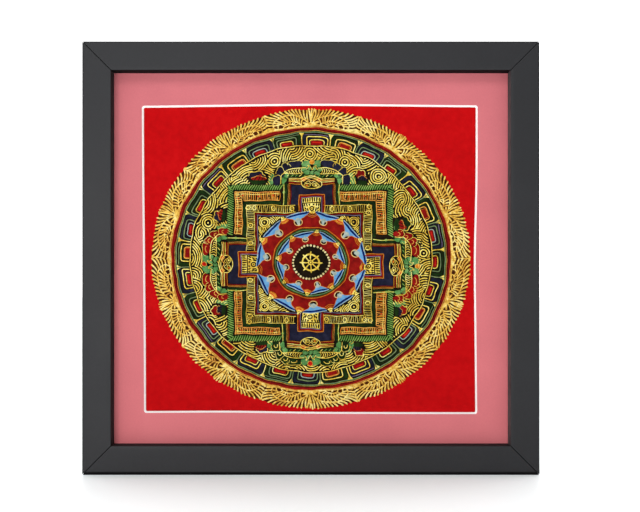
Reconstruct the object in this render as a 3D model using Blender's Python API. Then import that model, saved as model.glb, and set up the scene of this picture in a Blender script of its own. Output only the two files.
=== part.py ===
"""A small mandala thangka, painted on primed cotton cloth, lying flat behind a bevelled mat
in a plain mitred wooden frame.

The frame stands upright on its bottom rail. X runs along its width, Z up, and the painted
face looks along -Y. The origin is on the surface it stands on, under the middle of the frame.
Everything is in metres.
"""

import math

import bmesh
import bpy
from mathutils import Vector

# ---------------------------------------------------------------- driving dimensions
GAP = 0.0003  # clearance kept between pieces that touch

FRAME_WIDTH = 0.2742
FRAME_HEIGHT = 0.2599
FRAME_DEPTH = 0.0220
RAIL_FACE = 0.0174  # width of a rail seen from the front
LIP_DEPTH = 0.0097  # thickness of the lip that covers the mat's edge
REBATE_WIDTH = 0.0060  # how far the rebate is cut back behind the lip
CORNER_RADIUS_TOP = 0.0008
CORNER_RADIUS_BOTTOM = 0.0014
CORNER_STEPS = 4
EASE_FRONT = 0.0011  # softened outer front arris
EASE_BACK = 0.0006
EASE_LIP = 0.0003
EASE_STEPS = 3

MAT_THICKNESS = 0.0014
MAT_BEVEL = 0.00135  # sideways run of the sloping cut
BOARD_PLAY = 0.0005  # clearance of the boards in the rebate

CLOTH_THICKNESS = 0.0010
CLOTH_MARGIN = 0.0080  # cloth hidden behind the mat, beyond its window

BACKING_THICKNESS = 0.0030

# The mat's hand-cut window, as seen from the front. Each side has a nominal distance from the
# frame's centre line and how far the cut wanders outwards from it at five places along it:
# left to right for the top and bottom cuts, top to bottom for the left and right ones.
WINDOW_LEFT = 0.1026
WINDOW_RIGHT = 0.1014
WINDOW_TOP = 0.0940
WINDOW_BOTTOM = 0.0944
WINDOW_RADIUS = 0.0014
WINDOW_STEPS = 20  # straight lengths along each side
WINDOW_CORNER_STEPS = 4
WANDER_MM = {
    #          start  1/4   half   3/4    end
    "top": (-0.75, -0.10, 0.45, 0.05, -0.50),
    "right": (0.45, 0.30, -0.70, -0.30, 0.15),
    "bottom": (-0.30, -0.50, 0.15, 0.35, 0.40),
    "left": (0.70, 0.45, 0.00, -0.40, -0.60),
}

# ---------------------------------------------------------------- derived sizes
CENTRE_Z = FRAME_HEIGHT / 2
FRONT_Y = -FRAME_DEPTH / 2
BACK_Y = FRAME_DEPTH / 2
LIP_BACK_Y = FRONT_Y + LIP_DEPTH
MAT_FRONT_Y = LIP_BACK_Y + GAP
MAT_BACK_Y = MAT_FRONT_Y + MAT_THICKNESS
CLOTH_FRONT_Y = MAT_BACK_Y + GAP
CLOTH_BACK_Y = CLOTH_FRONT_Y + CLOTH_THICKNESS
BACKING_FRONT_Y = CLOTH_BACK_Y + GAP
BACKING_BACK_Y = BACKING_FRONT_Y + BACKING_THICKNESS

OPENING_WIDTH = FRAME_WIDTH - 2 * RAIL_FACE
OPENING_HEIGHT = FRAME_HEIGHT - 2 * RAIL_FACE
REBATE_OPENING_WIDTH = OPENING_WIDTH + 2 * REBATE_WIDTH
REBATE_OPENING_HEIGHT = OPENING_HEIGHT + 2 * REBATE_WIDTH
BOARD_WIDTH = REBATE_OPENING_WIDTH - 2 * BOARD_PLAY
BOARD_HEIGHT = REBATE_OPENING_HEIGHT - 2 * BOARD_PLAY
CLOTH_WIDTH = WINDOW_LEFT + WINDOW_RIGHT + 2 * CLOTH_MARGIN
CLOTH_HEIGHT = WINDOW_TOP + WINDOW_BOTTOM + 2 * CLOTH_MARGIN
CLOTH_X = (WINDOW_RIGHT - WINDOW_LEFT) / 2
CLOTH_Z = CENTRE_Z + (WINDOW_TOP - WINDOW_BOTTOM) / 2

# One row for each rail: the way it faces, and its reach from the frame's centre
RAILS = (
    # name, outward x, outward z, reach, half length
    ("frame_rail_top", 0, 1, FRAME_HEIGHT / 2, FRAME_WIDTH / 2),
    ("frame_rail_bottom", 0, -1, FRAME_HEIGHT / 2, FRAME_WIDTH / 2),
    ("frame_rail_left", -1, 0, FRAME_WIDTH / 2, FRAME_HEIGHT / 2),
    ("frame_rail_right", 1, 0, FRAME_WIDTH / 2, FRAME_HEIGHT / 2),
)
CUT_MARGIN = 0.005  # how far a cutter runs past what it cuts


# ---------------------------------------------------------------- scene
for leftover in list(bpy.data.objects):
    bpy.data.objects.remove(leftover, do_unlink=True)

parts = bpy.data.collections.new("Framed_Thangka")
cutters = bpy.data.collections.new("Cutters")
bpy.context.scene.collection.children.link(parts)
bpy.context.scene.collection.children.link(cutters)


def material(name, colour, roughness, metallic=0.0):
    """A plain surface of one colour."""
    made = bpy.data.materials.new(name)
    made.use_nodes = True
    shader = made.node_tree.nodes["Principled BSDF"]
    shader.inputs["Base Color"].default_value = (*colour, 1.0)
    shader.inputs["Roughness"].default_value = roughness
    shader.inputs["Metallic"].default_value = metallic
    return made


def place(name, mesh, collection, finish=None):
    """An object for a finished mesh."""
    made = bpy.data.objects.new(name, mesh)
    collection.objects.link(made)
    if finish is not None:
        mesh.materials.clear()
        mesh.materials.append(finish)
    return made


def as_cutter(made):
    made.hide_render = True
    made.display_type = "WIRE"
    return made


def evaluated_mesh(made):
    """The mesh that an object shows, with its transform and modifiers applied."""
    bpy.context.view_layer.update()
    shown = made.evaluated_get(bpy.context.evaluated_depsgraph_get())
    mesh = bpy.data.meshes.new_from_object(shown)
    mesh.transform(made.matrix_world)
    return mesh


def plate(outlines, front_y, back_y):
    """A flat plate between two depths. The first outline is its edge and the others are holes;
    each is a list of (x, z) points."""
    drawn = bpy.data.curves.new("outline", "CURVE")
    drawn.dimensions = "2D"
    drawn.fill_mode = "BOTH"
    drawn.extrude = (back_y - front_y) / 2
    for outline in outlines:
        spline = drawn.splines.new("POLY")
        spline.points.add(len(outline) - 1)
        for point, (x, z) in zip(spline.points, outline):
            point.co = (x, z, 0.0, 1.0)
        spline.use_cyclic_u = True
    holder = bpy.data.objects.new("outline", drawn)
    cutters.objects.link(holder)
    holder.location = (0.0, (front_y + back_y) / 2, 0.0)
    holder.rotation_euler = (math.pi / 2, 0.0, 0.0)
    mesh = evaluated_mesh(holder)
    bpy.data.objects.remove(holder, do_unlink=True)
    body = bmesh.new()
    body.from_mesh(mesh)
    bmesh.ops.remove_doubles(body, verts=body.verts, dist=0.000001)
    bmesh.ops.recalc_face_normals(body, faces=body.faces)
    body.to_mesh(mesh)
    body.free()
    return mesh


def block(width, height, front_y, back_y, centre_x, centre_z):
    """A rectangular board, made from a cube with its size applied."""
    body = bmesh.new()
    bmesh.ops.create_cube(body, size=1.0)
    bmesh.ops.scale(body, vec=(width, back_y - front_y, height), verts=body.verts)
    bmesh.ops.translate(
        body, vec=(centre_x, (front_y + back_y) / 2, centre_z), verts=body.verts
    )
    mesh = bpy.data.meshes.new("board")
    body.to_mesh(mesh)
    body.free()
    return mesh


def boolean(made, cutter, operation):
    step = made.modifiers.new(operation.lower(), "BOOLEAN")
    step.operation = operation
    step.solver = "EXACT"
    step.object = cutter


def rectangle(width, height):
    return [
        (-width / 2, CENTRE_Z - height / 2),
        (width / 2, CENTRE_Z - height / 2),
        (width / 2, CENTRE_Z + height / 2),
        (-width / 2, CENTRE_Z + height / 2),
    ]


def rounded_rectangle(width, height, bottom_radius, top_radius, steps):
    """The frame's outer outline, with its four corners slightly rounded."""
    corners = (
        # x side, z side, radius, angle at which its arc starts
        (1, -1, bottom_radius, -90),
        (1, 1, top_radius, 0),
        (-1, 1, top_radius, 90),
        (-1, -1, bottom_radius, 180),
    )
    points = []
    for side_x, side_z, radius, start in corners:
        middle_x = side_x * (width / 2 - radius)
        middle_z = CENTRE_Z + side_z * (height / 2 - radius)
        for step in range(steps + 1):
            angle = math.radians(start + 90 * step / steps)
            points.append(
                (
                    middle_x + radius * math.cos(angle),
                    middle_z + radius * math.sin(angle),
                )
            )
    return points


# ---------------------------------------------------------------- the frame
def frame_ring():
    """The whole moulding before it is parted at its mitres: an outline with an opening, and a
    wider rebate cut from the back for the boards."""
    outer = rounded_rectangle(
        FRAME_WIDTH, FRAME_HEIGHT, CORNER_RADIUS_BOTTOM, CORNER_RADIUS_TOP, CORNER_STEPS
    )
    opening = rectangle(OPENING_WIDTH, OPENING_HEIGHT)
    ring = place("ring", plate([outer, opening], FRONT_Y, BACK_Y), cutters)
    rebate = place(
        "rebate",
        block(
            REBATE_OPENING_WIDTH,
            REBATE_OPENING_HEIGHT,
            LIP_BACK_Y,
            BACK_Y + CUT_MARGIN,
            0.0,
            CENTRE_Z,
        ),
        cutters,
    )
    boolean(ring, rebate, "DIFFERENCE")
    mesh = evaluated_mesh(ring)
    bpy.data.objects.remove(ring, do_unlink=True)
    bpy.data.objects.remove(rebate, do_unlink=True)
    return mesh


def mitre_wedge(out_x, out_z, reach, half_length):
    """The part of the moulding that one rail takes, between the 45 degree cuts at its ends."""
    half_gap = GAP / 2 * math.sqrt(2)
    inner = RAIL_FACE + REBATE_WIDTH + CUT_MARGIN
    local = (
        (-(half_length + CUT_MARGIN - half_gap), reach + CUT_MARGIN),
        (half_length + CUT_MARGIN - half_gap, reach + CUT_MARGIN),
        (half_length - inner - half_gap, reach - inner),
        (-(half_length - inner - half_gap), reach - inner),
    )
    return [
        (out_x * outward + out_z * along, CENTRE_Z + out_z * outward - out_x * along)
        for along, outward in local
    ]


def ease(body, facing, outward, width):
    """Rounds the arrises where the face that looks along facing (-1 front, 1 back) meets the
    rail's outer sides (outward True) or its lip (outward False)."""
    centre = Vector((0.0, 0.0, CENTRE_Z))
    chosen = []
    for edge in body.edges:
        if len(edge.link_faces) != 2:
            continue
        flats = [f for f in edge.link_faces if f.normal.y * facing > 0.99]
        sides = [f for f in edge.link_faces if abs(f.normal.y) < 0.01]
        if not (flats and sides):
            continue
        normal = sides[0].normal
        if abs(abs(normal.x) - abs(normal.z)) < 0.01:  # a mitre, left sharp
            continue
        away = (sides[0].calc_center_median() - centre).dot(normal) > 0
        at = (edge.verts[0].co + edge.verts[1].co) / 2
        in_rebate = (
            abs(at.x) < REBATE_OPENING_WIDTH / 2 + 0.0001
            and abs(at.z - CENTRE_Z) < REBATE_OPENING_HEIGHT / 2 + 0.0001
        )
        if outward and away and not in_rebate:
            chosen.append(edge)
        elif not outward and not away and in_rebate:
            chosen.append(edge)
    bmesh.ops.bevel(
        body,
        geom=chosen,
        offset=width,
        offset_type="OFFSET",
        segments=EASE_STEPS,
        profile=0.5,
        affect="EDGES",
        clamp_overlap=True,
    )


def build_frame(finish):
    ring = frame_ring()
    for name, out_x, out_z, reach, half_length in RAILS:
        stock = place("stock", ring.copy(), cutters)
        wedge = place(
            "wedge",
            plate(
                [mitre_wedge(out_x, out_z, reach, half_length)],
                FRONT_Y - CUT_MARGIN,
                BACK_Y + CUT_MARGIN,
            ),
            cutters,
        )
        boolean(stock, wedge, "INTERSECT")
        mesh = evaluated_mesh(stock)
        bpy.data.objects.remove(stock, do_unlink=True)
        bpy.data.objects.remove(wedge, do_unlink=True)
        body = bmesh.new()
        body.from_mesh(mesh)
        bmesh.ops.remove_doubles(body, verts=body.verts, dist=0.000001)
        bmesh.ops.dissolve_limit(
            body,
            angle_limit=math.radians(0.5),
            verts=body.verts,
            edges=body.edges,
        )
        ease(body, -1, True, EASE_FRONT)
        ease(body, 1, True, EASE_BACK)
        ease(body, -1, False, EASE_LIP)
        body.to_mesh(mesh)
        body.free()
        mesh.name = name
        place(name, mesh, parts, finish)
    bpy.data.meshes.remove(ring)


# ---------------------------------------------------------------- the mat
def wander(side, share):
    """How far the hand-cut edge strays outwards from its nominal line, at a share of the way
    along it: a smooth curve through the table's five values."""
    values = [value / 1000 for value in WANDER_MM[side]]
    at = min(max(share, 0.0), 1.0) * (len(values) - 1)
    index = min(int(at), len(values) - 2)
    t = at - index
    before = values[max(index - 1, 0)]
    here, after = values[index], values[index + 1]
    beyond = values[min(index + 2, len(values) - 1)]
    return 0.5 * (
        2 * here
        + (after - before) * t
        + (2 * before - 5 * here + 4 * after - beyond) * t * t
        + (3 * here - before - 3 * after + beyond) * t * t * t
    )


def window_outline(inset):
    """The window's outline, drawn in by an inset, anticlockwise from its bottom left corner."""
    left = -WINDOW_LEFT + inset
    right = WINDOW_RIGHT - inset
    bottom = CENTRE_Z - WINDOW_BOTTOM + inset
    top = CENTRE_Z + WINDOW_TOP - inset
    radius = max(WINDOW_RADIUS - inset, 0.0003)
    share = [step / WINDOW_STEPS for step in range(WINDOW_STEPS + 1)]

    def bottom_z(x):
        return bottom - wander("bottom", (x - left) / (right - left))

    def top_z(x):
        return top + wander("top", (x - left) / (right - left))

    def left_x(z):
        return left - wander("left", (top - z) / (top - bottom))

    def right_x(z):
        return right + wander("right", (top - z) / (top - bottom))

    def corner(x, z, start):
        """A quarter circle that ends on the two cuts which meet near (x, z)."""
        found = []
        for step in range(1, WINDOW_CORNER_STEPS):
            angle = math.radians(start + 90 * step / WINDOW_CORNER_STEPS)
            found.append((x + radius * math.cos(angle), z + radius * math.sin(angle)))
        return found

    low_left = (left_x(bottom) + radius, bottom_z(left) + radius)
    low_right = (right_x(bottom) - radius, bottom_z(right) + radius)
    top_right = (right_x(top) - radius, top_z(right) - radius)
    top_left = (left_x(top) + radius, top_z(left) - radius)
    points = []
    for t in share:
        x = low_left[0] + (low_right[0] - low_left[0]) * t
        points.append((x, bottom_z(x)))
    points += corner(*low_right, -90)
    for t in share:
        z = low_right[1] + (top_right[1] - low_right[1]) * t
        points.append((right_x(z), z))
    points += corner(*top_right, 0)
    for t in share:
        x = top_right[0] + (top_left[0] - top_right[0]) * t
        points.append((x, top_z(x)))
    points += corner(*top_left, 90)
    for t in share:
        z = top_left[1] + (low_left[1] - top_left[1]) * t
        points.append((left_x(z), z))
    points += corner(*low_left, 180)
    return points


def window_cutter():
    """The piece of board that the knife takes out: its sides slope in towards the cloth, so
    its front outline is larger than its back one."""
    slope = MAT_BEVEL / MAT_THICKNESS
    past = 0.0004  # how far it runs past each face of the board
    sections = (
        (MAT_FRONT_Y - past, window_outline(-past * slope)),
        (MAT_BACK_Y + past, window_outline((MAT_THICKNESS + past) * slope)),
    )
    body = bmesh.new()
    loops = [[body.verts.new((x, y, z)) for x, z in line] for y, line in sections]
    front, back = loops
    count = len(front)
    for i in range(count):
        j = (i + 1) % count
        body.faces.new((front[i], front[j], back[j], back[i]))
    body.faces.new(list(reversed(front)))
    body.faces.new(back)
    bmesh.ops.recalc_face_normals(body, faces=body.faces)
    mesh = bpy.data.meshes.new("mat_window")
    body.to_mesh(mesh)
    body.free()
    return as_cutter(place("mat_window", mesh, cutters))


def build_mat(finish):
    mesh = block(BOARD_WIDTH, BOARD_HEIGHT, MAT_FRONT_Y, MAT_BACK_Y, 0.0, CENTRE_Z)
    board = place("mat_board", mesh, parts, finish)
    boolean(board, window_cutter(), "DIFFERENCE")


# ---------------------------------------------------------------- cloth and backing
def build_cloth(finish):
    """The painted cloth: one flat, primed sheet, a little larger than the mat's window."""
    mesh = block(
        CLOTH_WIDTH, CLOTH_HEIGHT, CLOTH_FRONT_Y, CLOTH_BACK_Y, CLOTH_X, CLOTH_Z
    )
    place("thangka_cloth", mesh, parts, finish)


def build_backing(finish):
    mesh = block(
        BOARD_WIDTH, BOARD_HEIGHT, BACKING_FRONT_Y, BACKING_BACK_Y, 0.0, CENTRE_Z
    )
    place("backing_board", mesh, parts, finish)


build_frame(material("black_painted_wood", (0.045, 0.045, 0.051), 0.45))
build_mat(material("pink_mat_paper", (0.66, 0.205, 0.235), 0.9))
build_cloth(material("red_painted_cotton", (0.58, 0.008, 0.013), 0.7))
build_backing(material("brown_hardboard", (0.26, 0.15, 0.075), 0.8))
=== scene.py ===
"""The looks of a small framed mandala thangka: the painted cloth with its raised strokes, the
bevelled mat, the black mitred frame, the backing board, and a plain white studio.

Lengths in the painting's tables are millimetres, measured on the cloth. Angles are degrees,
clockwise from the top of a circle.
"""

import math

import bmesh
import bpy
import numpy as np
from mathutils.geometry import tessellate_polygon
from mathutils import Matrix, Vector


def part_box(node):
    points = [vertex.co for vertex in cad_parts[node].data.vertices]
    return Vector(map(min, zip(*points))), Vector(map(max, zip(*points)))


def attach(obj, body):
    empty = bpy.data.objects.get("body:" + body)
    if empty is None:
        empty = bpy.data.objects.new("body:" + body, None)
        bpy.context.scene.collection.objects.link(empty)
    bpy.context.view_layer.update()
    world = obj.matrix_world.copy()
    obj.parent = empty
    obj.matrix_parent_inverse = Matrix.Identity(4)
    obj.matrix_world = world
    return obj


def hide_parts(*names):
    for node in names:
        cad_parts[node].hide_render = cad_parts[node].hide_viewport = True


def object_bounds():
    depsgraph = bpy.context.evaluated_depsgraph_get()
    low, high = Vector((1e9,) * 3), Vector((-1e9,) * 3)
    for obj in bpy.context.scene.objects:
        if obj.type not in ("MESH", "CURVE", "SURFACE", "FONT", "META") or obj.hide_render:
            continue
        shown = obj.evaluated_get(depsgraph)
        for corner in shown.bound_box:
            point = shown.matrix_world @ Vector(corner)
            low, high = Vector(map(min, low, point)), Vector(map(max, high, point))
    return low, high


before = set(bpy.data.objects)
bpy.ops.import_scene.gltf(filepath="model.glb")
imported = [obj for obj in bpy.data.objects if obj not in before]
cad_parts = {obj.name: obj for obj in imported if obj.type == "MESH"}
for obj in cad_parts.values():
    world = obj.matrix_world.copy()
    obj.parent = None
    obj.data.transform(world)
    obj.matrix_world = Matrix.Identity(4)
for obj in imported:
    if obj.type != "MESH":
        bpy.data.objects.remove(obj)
CAD_BOX = [list(corner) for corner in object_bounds()]

MM = 0.001
rng = np.random.default_rng(20)


# ================================================================= materials
def nodes_of(material):
    return material.node_tree.nodes, material.node_tree.links


def shader_of(material):
    return material.node_tree.nodes["Principled BSDF"]


def new_material(name, roughness=0.5, metallic=0.0, specular=0.5):
    made = bpy.data.materials.new(name)
    made.use_nodes = True
    shader = shader_of(made)
    shader.inputs["Roughness"].default_value = roughness
    shader.inputs["Metallic"].default_value = metallic
    shader.inputs["Specular IOR Level"].default_value = specular
    return made


def object_point(material, scale=(1.0, 1.0, 1.0)):
    """The place on the object, in metres times a scale for each axis."""
    nodes, links = nodes_of(material)
    where = nodes.new("ShaderNodeTexCoord")
    mapping = nodes.new("ShaderNodeMapping")
    mapping.inputs["Scale"].default_value = scale
    links.new(where.outputs["Object"], mapping.inputs["Vector"])
    return mapping.outputs["Vector"]


def noise(material, point, scale, detail=3.0, roughness=0.55):
    nodes, links = nodes_of(material)
    made = nodes.new("ShaderNodeTexNoise")
    made.inputs["Scale"].default_value = scale
    made.inputs["Detail"].default_value = detail
    made.inputs["Roughness"].default_value = roughness
    links.new(point, made.inputs["Vector"])
    return made.outputs["Fac"]


def ramp(material, value, stops):
    """A colour for each value; stops are (position, colour)."""
    nodes, links = nodes_of(material)
    made = nodes.new("ShaderNodeValToRGB")
    elements = made.color_ramp.elements
    while len(elements) < len(stops):
        elements.new(0.5)
    for element, (position, colour) in zip(elements, stops):
        element.position = position
        element.color = (*colour, 1.0)
    links.new(value, made.inputs["Fac"])
    return made.outputs["Color"]


def maths(material, operation, first, second=None):
    nodes, links = nodes_of(material)
    made = nodes.new("ShaderNodeMath")
    made.operation = operation
    for socket, value in zip(made.inputs, (first, second)):
        if value is None:
            continue
        if isinstance(value, (int, float)):
            socket.default_value = value
        else:
            links.new(value, socket)
    return made.outputs["Value"]


def blend_values(material, first, share, second):
    """share of the first value and the rest of the second."""
    return maths(
        material,
        "ADD",
        maths(material, "MULTIPLY", first, share),
        maths(material, "MULTIPLY", second, 1 - share),
    )


def bump(material, height, strength, distance):
    nodes, links = nodes_of(material)
    made = nodes.new("ShaderNodeBump")
    made.inputs["Strength"].default_value = strength
    made.inputs["Distance"].default_value = distance
    links.new(height, made.inputs["Height"])
    links.new(made.outputs["Normal"], shader_of(material).inputs["Normal"])


def colour_of(material, colour):
    nodes, links = nodes_of(material)
    links.new(colour, shader_of(material).inputs["Base Color"])


def roughness_of(material, value, low, high):
    nodes, links = nodes_of(material)
    made = nodes.new("ShaderNodeMapRange")
    made.inputs["To Min"].default_value = low
    made.inputs["To Max"].default_value = high
    links.new(value, made.inputs["Value"])
    links.new(made.outputs["Result"], shader_of(material).inputs["Roughness"])


def weave_height(material, pitch, threads_share):
    """The over and under of a plain weave, its threads a pitch apart, softened by primer."""
    nodes, links = nodes_of(material)
    point = object_point(material)
    split = nodes.new("ShaderNodeSeparateXYZ")
    links.new(point, split.inputs["Vector"])
    turn = 2 * math.pi / pitch
    across = maths(material, "SINE", maths(material, "MULTIPLY", split.outputs["X"], turn))
    along = maths(material, "SINE", maths(material, "MULTIPLY", split.outputs["Z"], turn))
    threads = maths(material, "MULTIPLY", across, along)
    return blend_values(material, threads, threads_share, noise(material, point, 1500.0, 2.0))


def paint(name, deep, usual, pale, roughness=0.78, metallic=0.0, specular=0.06):
    """Hand-laid opaque paint on primed cotton: it pools darker and dries paler in patches, and
    the weave shows faintly through it."""
    made = new_material(name, roughness, metallic, specular)
    point = object_point(made)
    patches = noise(made, point, 260.0, 4.0, 0.6)
    broad = noise(made, point, 45.0, 2.0, 0.5)
    value = blend_values(made, patches, 0.65, broad)
    colour_of(made, ramp(made, value, [(0.36, deep), (0.5, usual), (0.64, pale)]))
    bump(made, weave_height(made, 0.00052, 0.4), 0.35, 0.00004)
    return made


def gold(name, deep, usual, pale):
    """Gold paint, laid thick: a soft metallic glint and a grainy face."""
    made = new_material(name, 0.46, 0.2, 0.3)
    point = object_point(made)
    grain = noise(made, point, 520.0, 4.0, 0.65)
    broad = noise(made, point, 60.0, 2.0, 0.5)
    value = blend_values(made, grain, 0.6, broad)
    colour_of(made, ramp(made, value, [(0.38, deep), (0.49, usual), (0.58, pale)]))
    bump(made, grain, 0.3, 0.00005)
    return made


GAIN = 0.755  # the studio lights a white card a little past white


def shown(red, green, blue, gain=GAIN):
    """The shader colour that shows as a screen colour (0 to 255) under the studio's light."""
    found = []
    for value in (red, green, blue):
        value /= 255
        value = value / 12.92 if value <= 0.04045 else ((value + 0.055) / 1.055) ** 2.4
        found.append(min(value * gain, 1.0))
    return tuple(found)


RED_GROUND = paint("red_ground", shown(188, 3, 8), shown(199, 4, 10), shown(207, 9, 14))
BLACK = paint("black_ground", shown(14, 8, 2), shown(22, 14, 4), shown(36, 24, 8))
BROWN = paint("red_brown", shown(48, 18, 2), shown(74, 32, 3), shown(104, 50, 6))
DEEP_RED = paint("deep_red", shown(104, 9, 7), shown(135, 14, 10), shown(158, 24, 17))
GREEN = paint("green", shown(20, 62, 22), shown(30, 88, 34), shown(52, 112, 50))
DARK_GREEN = paint("dark_green", shown(14, 30, 6), shown(20, 42, 10), shown(32, 58, 16))
LEAF_GREEN = paint("leaf_green", shown(88, 130, 54), shown(118, 162, 74), shown(152, 190, 92))
PALE_GREEN = paint("pale_green", shown(62, 118, 58), shown(88, 146, 78), shown(120, 172, 100))
SAGE = paint("sage", shown(88, 112, 74), shown(116, 138, 92), shown(146, 164, 112))
SCARLET = paint("scarlet", shown(170, 16, 8), shown(194, 26, 14), shown(214, 44, 24))
NIGHT = paint("night_blue", shown(14, 16, 22), shown(24, 28, 42), shown(40, 46, 64))
NAVY = paint("navy", shown(18, 18, 32), shown(27, 27, 46), shown(40, 40, 62))
SKY = paint("sky_blue", shown(84, 142, 196), shown(108, 166, 214), shown(142, 188, 222))
STRONG_BLUE = paint("strong_blue", shown(4, 16, 60), shown(8, 28, 92), shown(18, 46, 122))
ORANGE = paint("orange", shown(188, 90, 16), shown(212, 121, 27), shown(232, 151, 42))
PLUM = paint("plum", shown(92, 78, 104), shown(120, 104, 130), shown(146, 130, 150))
MIST = paint("mist", shown(136, 152, 148), shown(168, 182, 172), shown(196, 204, 186))
GOLD = gold("gold", shown(188, 144, 12), shown(238, 206, 66), shown(255, 240, 138))
FLAME_GOLD = gold("flame_gold", shown(180, 116, 12), shown(238, 188, 64), shown(255, 230, 138))
PALE_GOLD = gold("pale_gold", shown(196, 170, 104), shown(226, 204, 138), shown(244, 228, 170))
GOLD_ORANGE = gold(
    "gold_orange", shown(196, 112, 26), shown(230, 154, 48), shown(246, 182, 72)
)

# ================================================================= the cloth's surface
CLOTH_LOW, CLOTH_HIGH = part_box("thangka_cloth")
CLOTH_SWELL = 0.00012  # how far the sheet eases back from flat
CLOTH_SKIN = 0.00085  # the sheet's own thickness


def cloth_depth(x, z):
    """Y of the stretched sheet's face, in metres: a few long, faint waves, as primed cotton
    keeps, behind its foremost plane."""
    wave = (
        np.sin(x * 46.0 + z * 17.0 + 0.6)
        + 0.7 * np.sin(x * -29.0 + z * 61.0 + 2.1)
        + 0.5 * np.sin(x * 83.0 + z * 71.0 + 4.0)
    )
    return CLOTH_LOW[1] + CLOTH_SWELL * (0.5 + wave / 4.4)


def mesh_from(name, verts, faces):
    mesh = bpy.data.meshes.new(name)
    mesh.from_pydata([tuple(v) for v in verts], [], [tuple(int(i) for i in f) for f in faces])
    mesh.update()
    return mesh


def show(name, mesh, materials, smooth=True):
    made = bpy.data.objects.new(name, mesh)
    bpy.context.scene.collection.objects.link(made)
    for material in materials:
        mesh.materials.append(material)
    if smooth:
        mesh.shade_smooth()
    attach(made, "root")
    return made


# ================================================================= drawing on the cloth
def hand(points):
    """The wavering of a line drawn by hand: the same small drift for all that is painted at a
    place, so that neighbouring colours still meet. Points in mm on the cloth."""
    x, z = points[:, 0], points[:, 1]
    drift_x = (
        0.22 * np.sin(x * 0.31 + z * 0.17 + 1.0)
        + 0.16 * np.sin(z * 0.52 - x * 0.11 + 0.3)
        + 0.08 * np.sin(x * 1.05 + z * 0.8)
    )
    drift_z = (
        0.22 * np.sin(z * 0.27 - x * 0.21 + 2.0)
        + 0.16 * np.sin(x * 0.47 + z * 0.13 + 4.0)
        + 0.08 * np.sin(z * 0.95 - x * 0.7 + 1.0)
    )
    return np.stack([x + drift_x, z + drift_z], axis=1)


class Zone:
    """A part of the design with its own centre, stretch and turn, in mm on the cloth."""

    def __init__(self, x, z, stretch_x=1.0, stretch_z=1.0, turn=0.0):
        self.centre = np.array([x, z])
        self.stretch = np.array([stretch_x, stretch_z])
        self.turn = math.radians(turn)

    def flat(self, points):
        """Where local points lie before the hand's wavering."""
        p = np.atleast_2d(np.asarray(points, float))
        c, s = math.cos(self.turn), math.sin(self.turn)
        turned = np.stack([p[:, 0] * c + p[:, 1] * s, p[:, 1] * c - p[:, 0] * s], axis=1)
        return turned * self.stretch + self.centre

    def back(self, flat_points):
        """Local points from places on the cloth."""
        p = (flat_points - self.centre) / self.stretch
        c, s = math.cos(self.turn), math.sin(self.turn)
        return np.stack([p[:, 0] * c - p[:, 1] * s, p[:, 1] * c + p[:, 0] * s], axis=1)

    def __call__(self, points):
        return hand(self.flat(points))


def polar(angle, radius):
    """Local points at angles (degrees, clockwise from the top) and radii."""
    a = np.radians(np.asarray(angle, float))
    r = np.asarray(radius, float)
    return np.stack(np.broadcast_arrays(r * np.sin(a), r * np.cos(a)), axis=-1)


def along(start, end, step=0.9):
    """Points along a straight line."""
    start, end = np.asarray(start, float), np.asarray(end, float)
    n = max(2, int(np.ceil(np.linalg.norm(end - start) / step)) + 1)
    t = np.linspace(0, 1, n)[:, None]
    return start + (end - start) * t


def path(corners, step=0.9, closed=False):
    """Points along straight lines from corner to corner."""
    corners = [np.asarray(c, float) for c in corners]
    if closed:
        corners.append(corners[0])
    found = []
    for start, end in zip(corners, corners[1:]):
        found.append(along(start, end, step)[:-1])
    if not closed:
        found.append(np.array([corners[-1]]))
    return np.concatenate(found)


def smooth_path(points, step=0.6):
    """A smooth curve through a few points."""
    p = np.asarray(points, float)
    p = np.vstack([2 * p[0] - p[1], p, 2 * p[-1] - p[-2]])
    found = []
    for i in range(1, len(p) - 2):
        n = max(2, int(np.linalg.norm(p[i + 1] - p[i]) / step) + 1)
        t = np.linspace(0, 1, n, endpoint=False)[:, None]
        a, b, c, d = p[i - 1], p[i], p[i + 1], p[i + 2]
        found.append(
            0.5
            * (
                2 * b
                + (c - a) * t
                + (2 * a - 5 * b + 4 * c - d) * t**2
                + (3 * b - a - 3 * c + d) * t**3
            )
        )
    found.append(p[-2:-1])
    return np.concatenate(found)


FILMS = []


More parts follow.
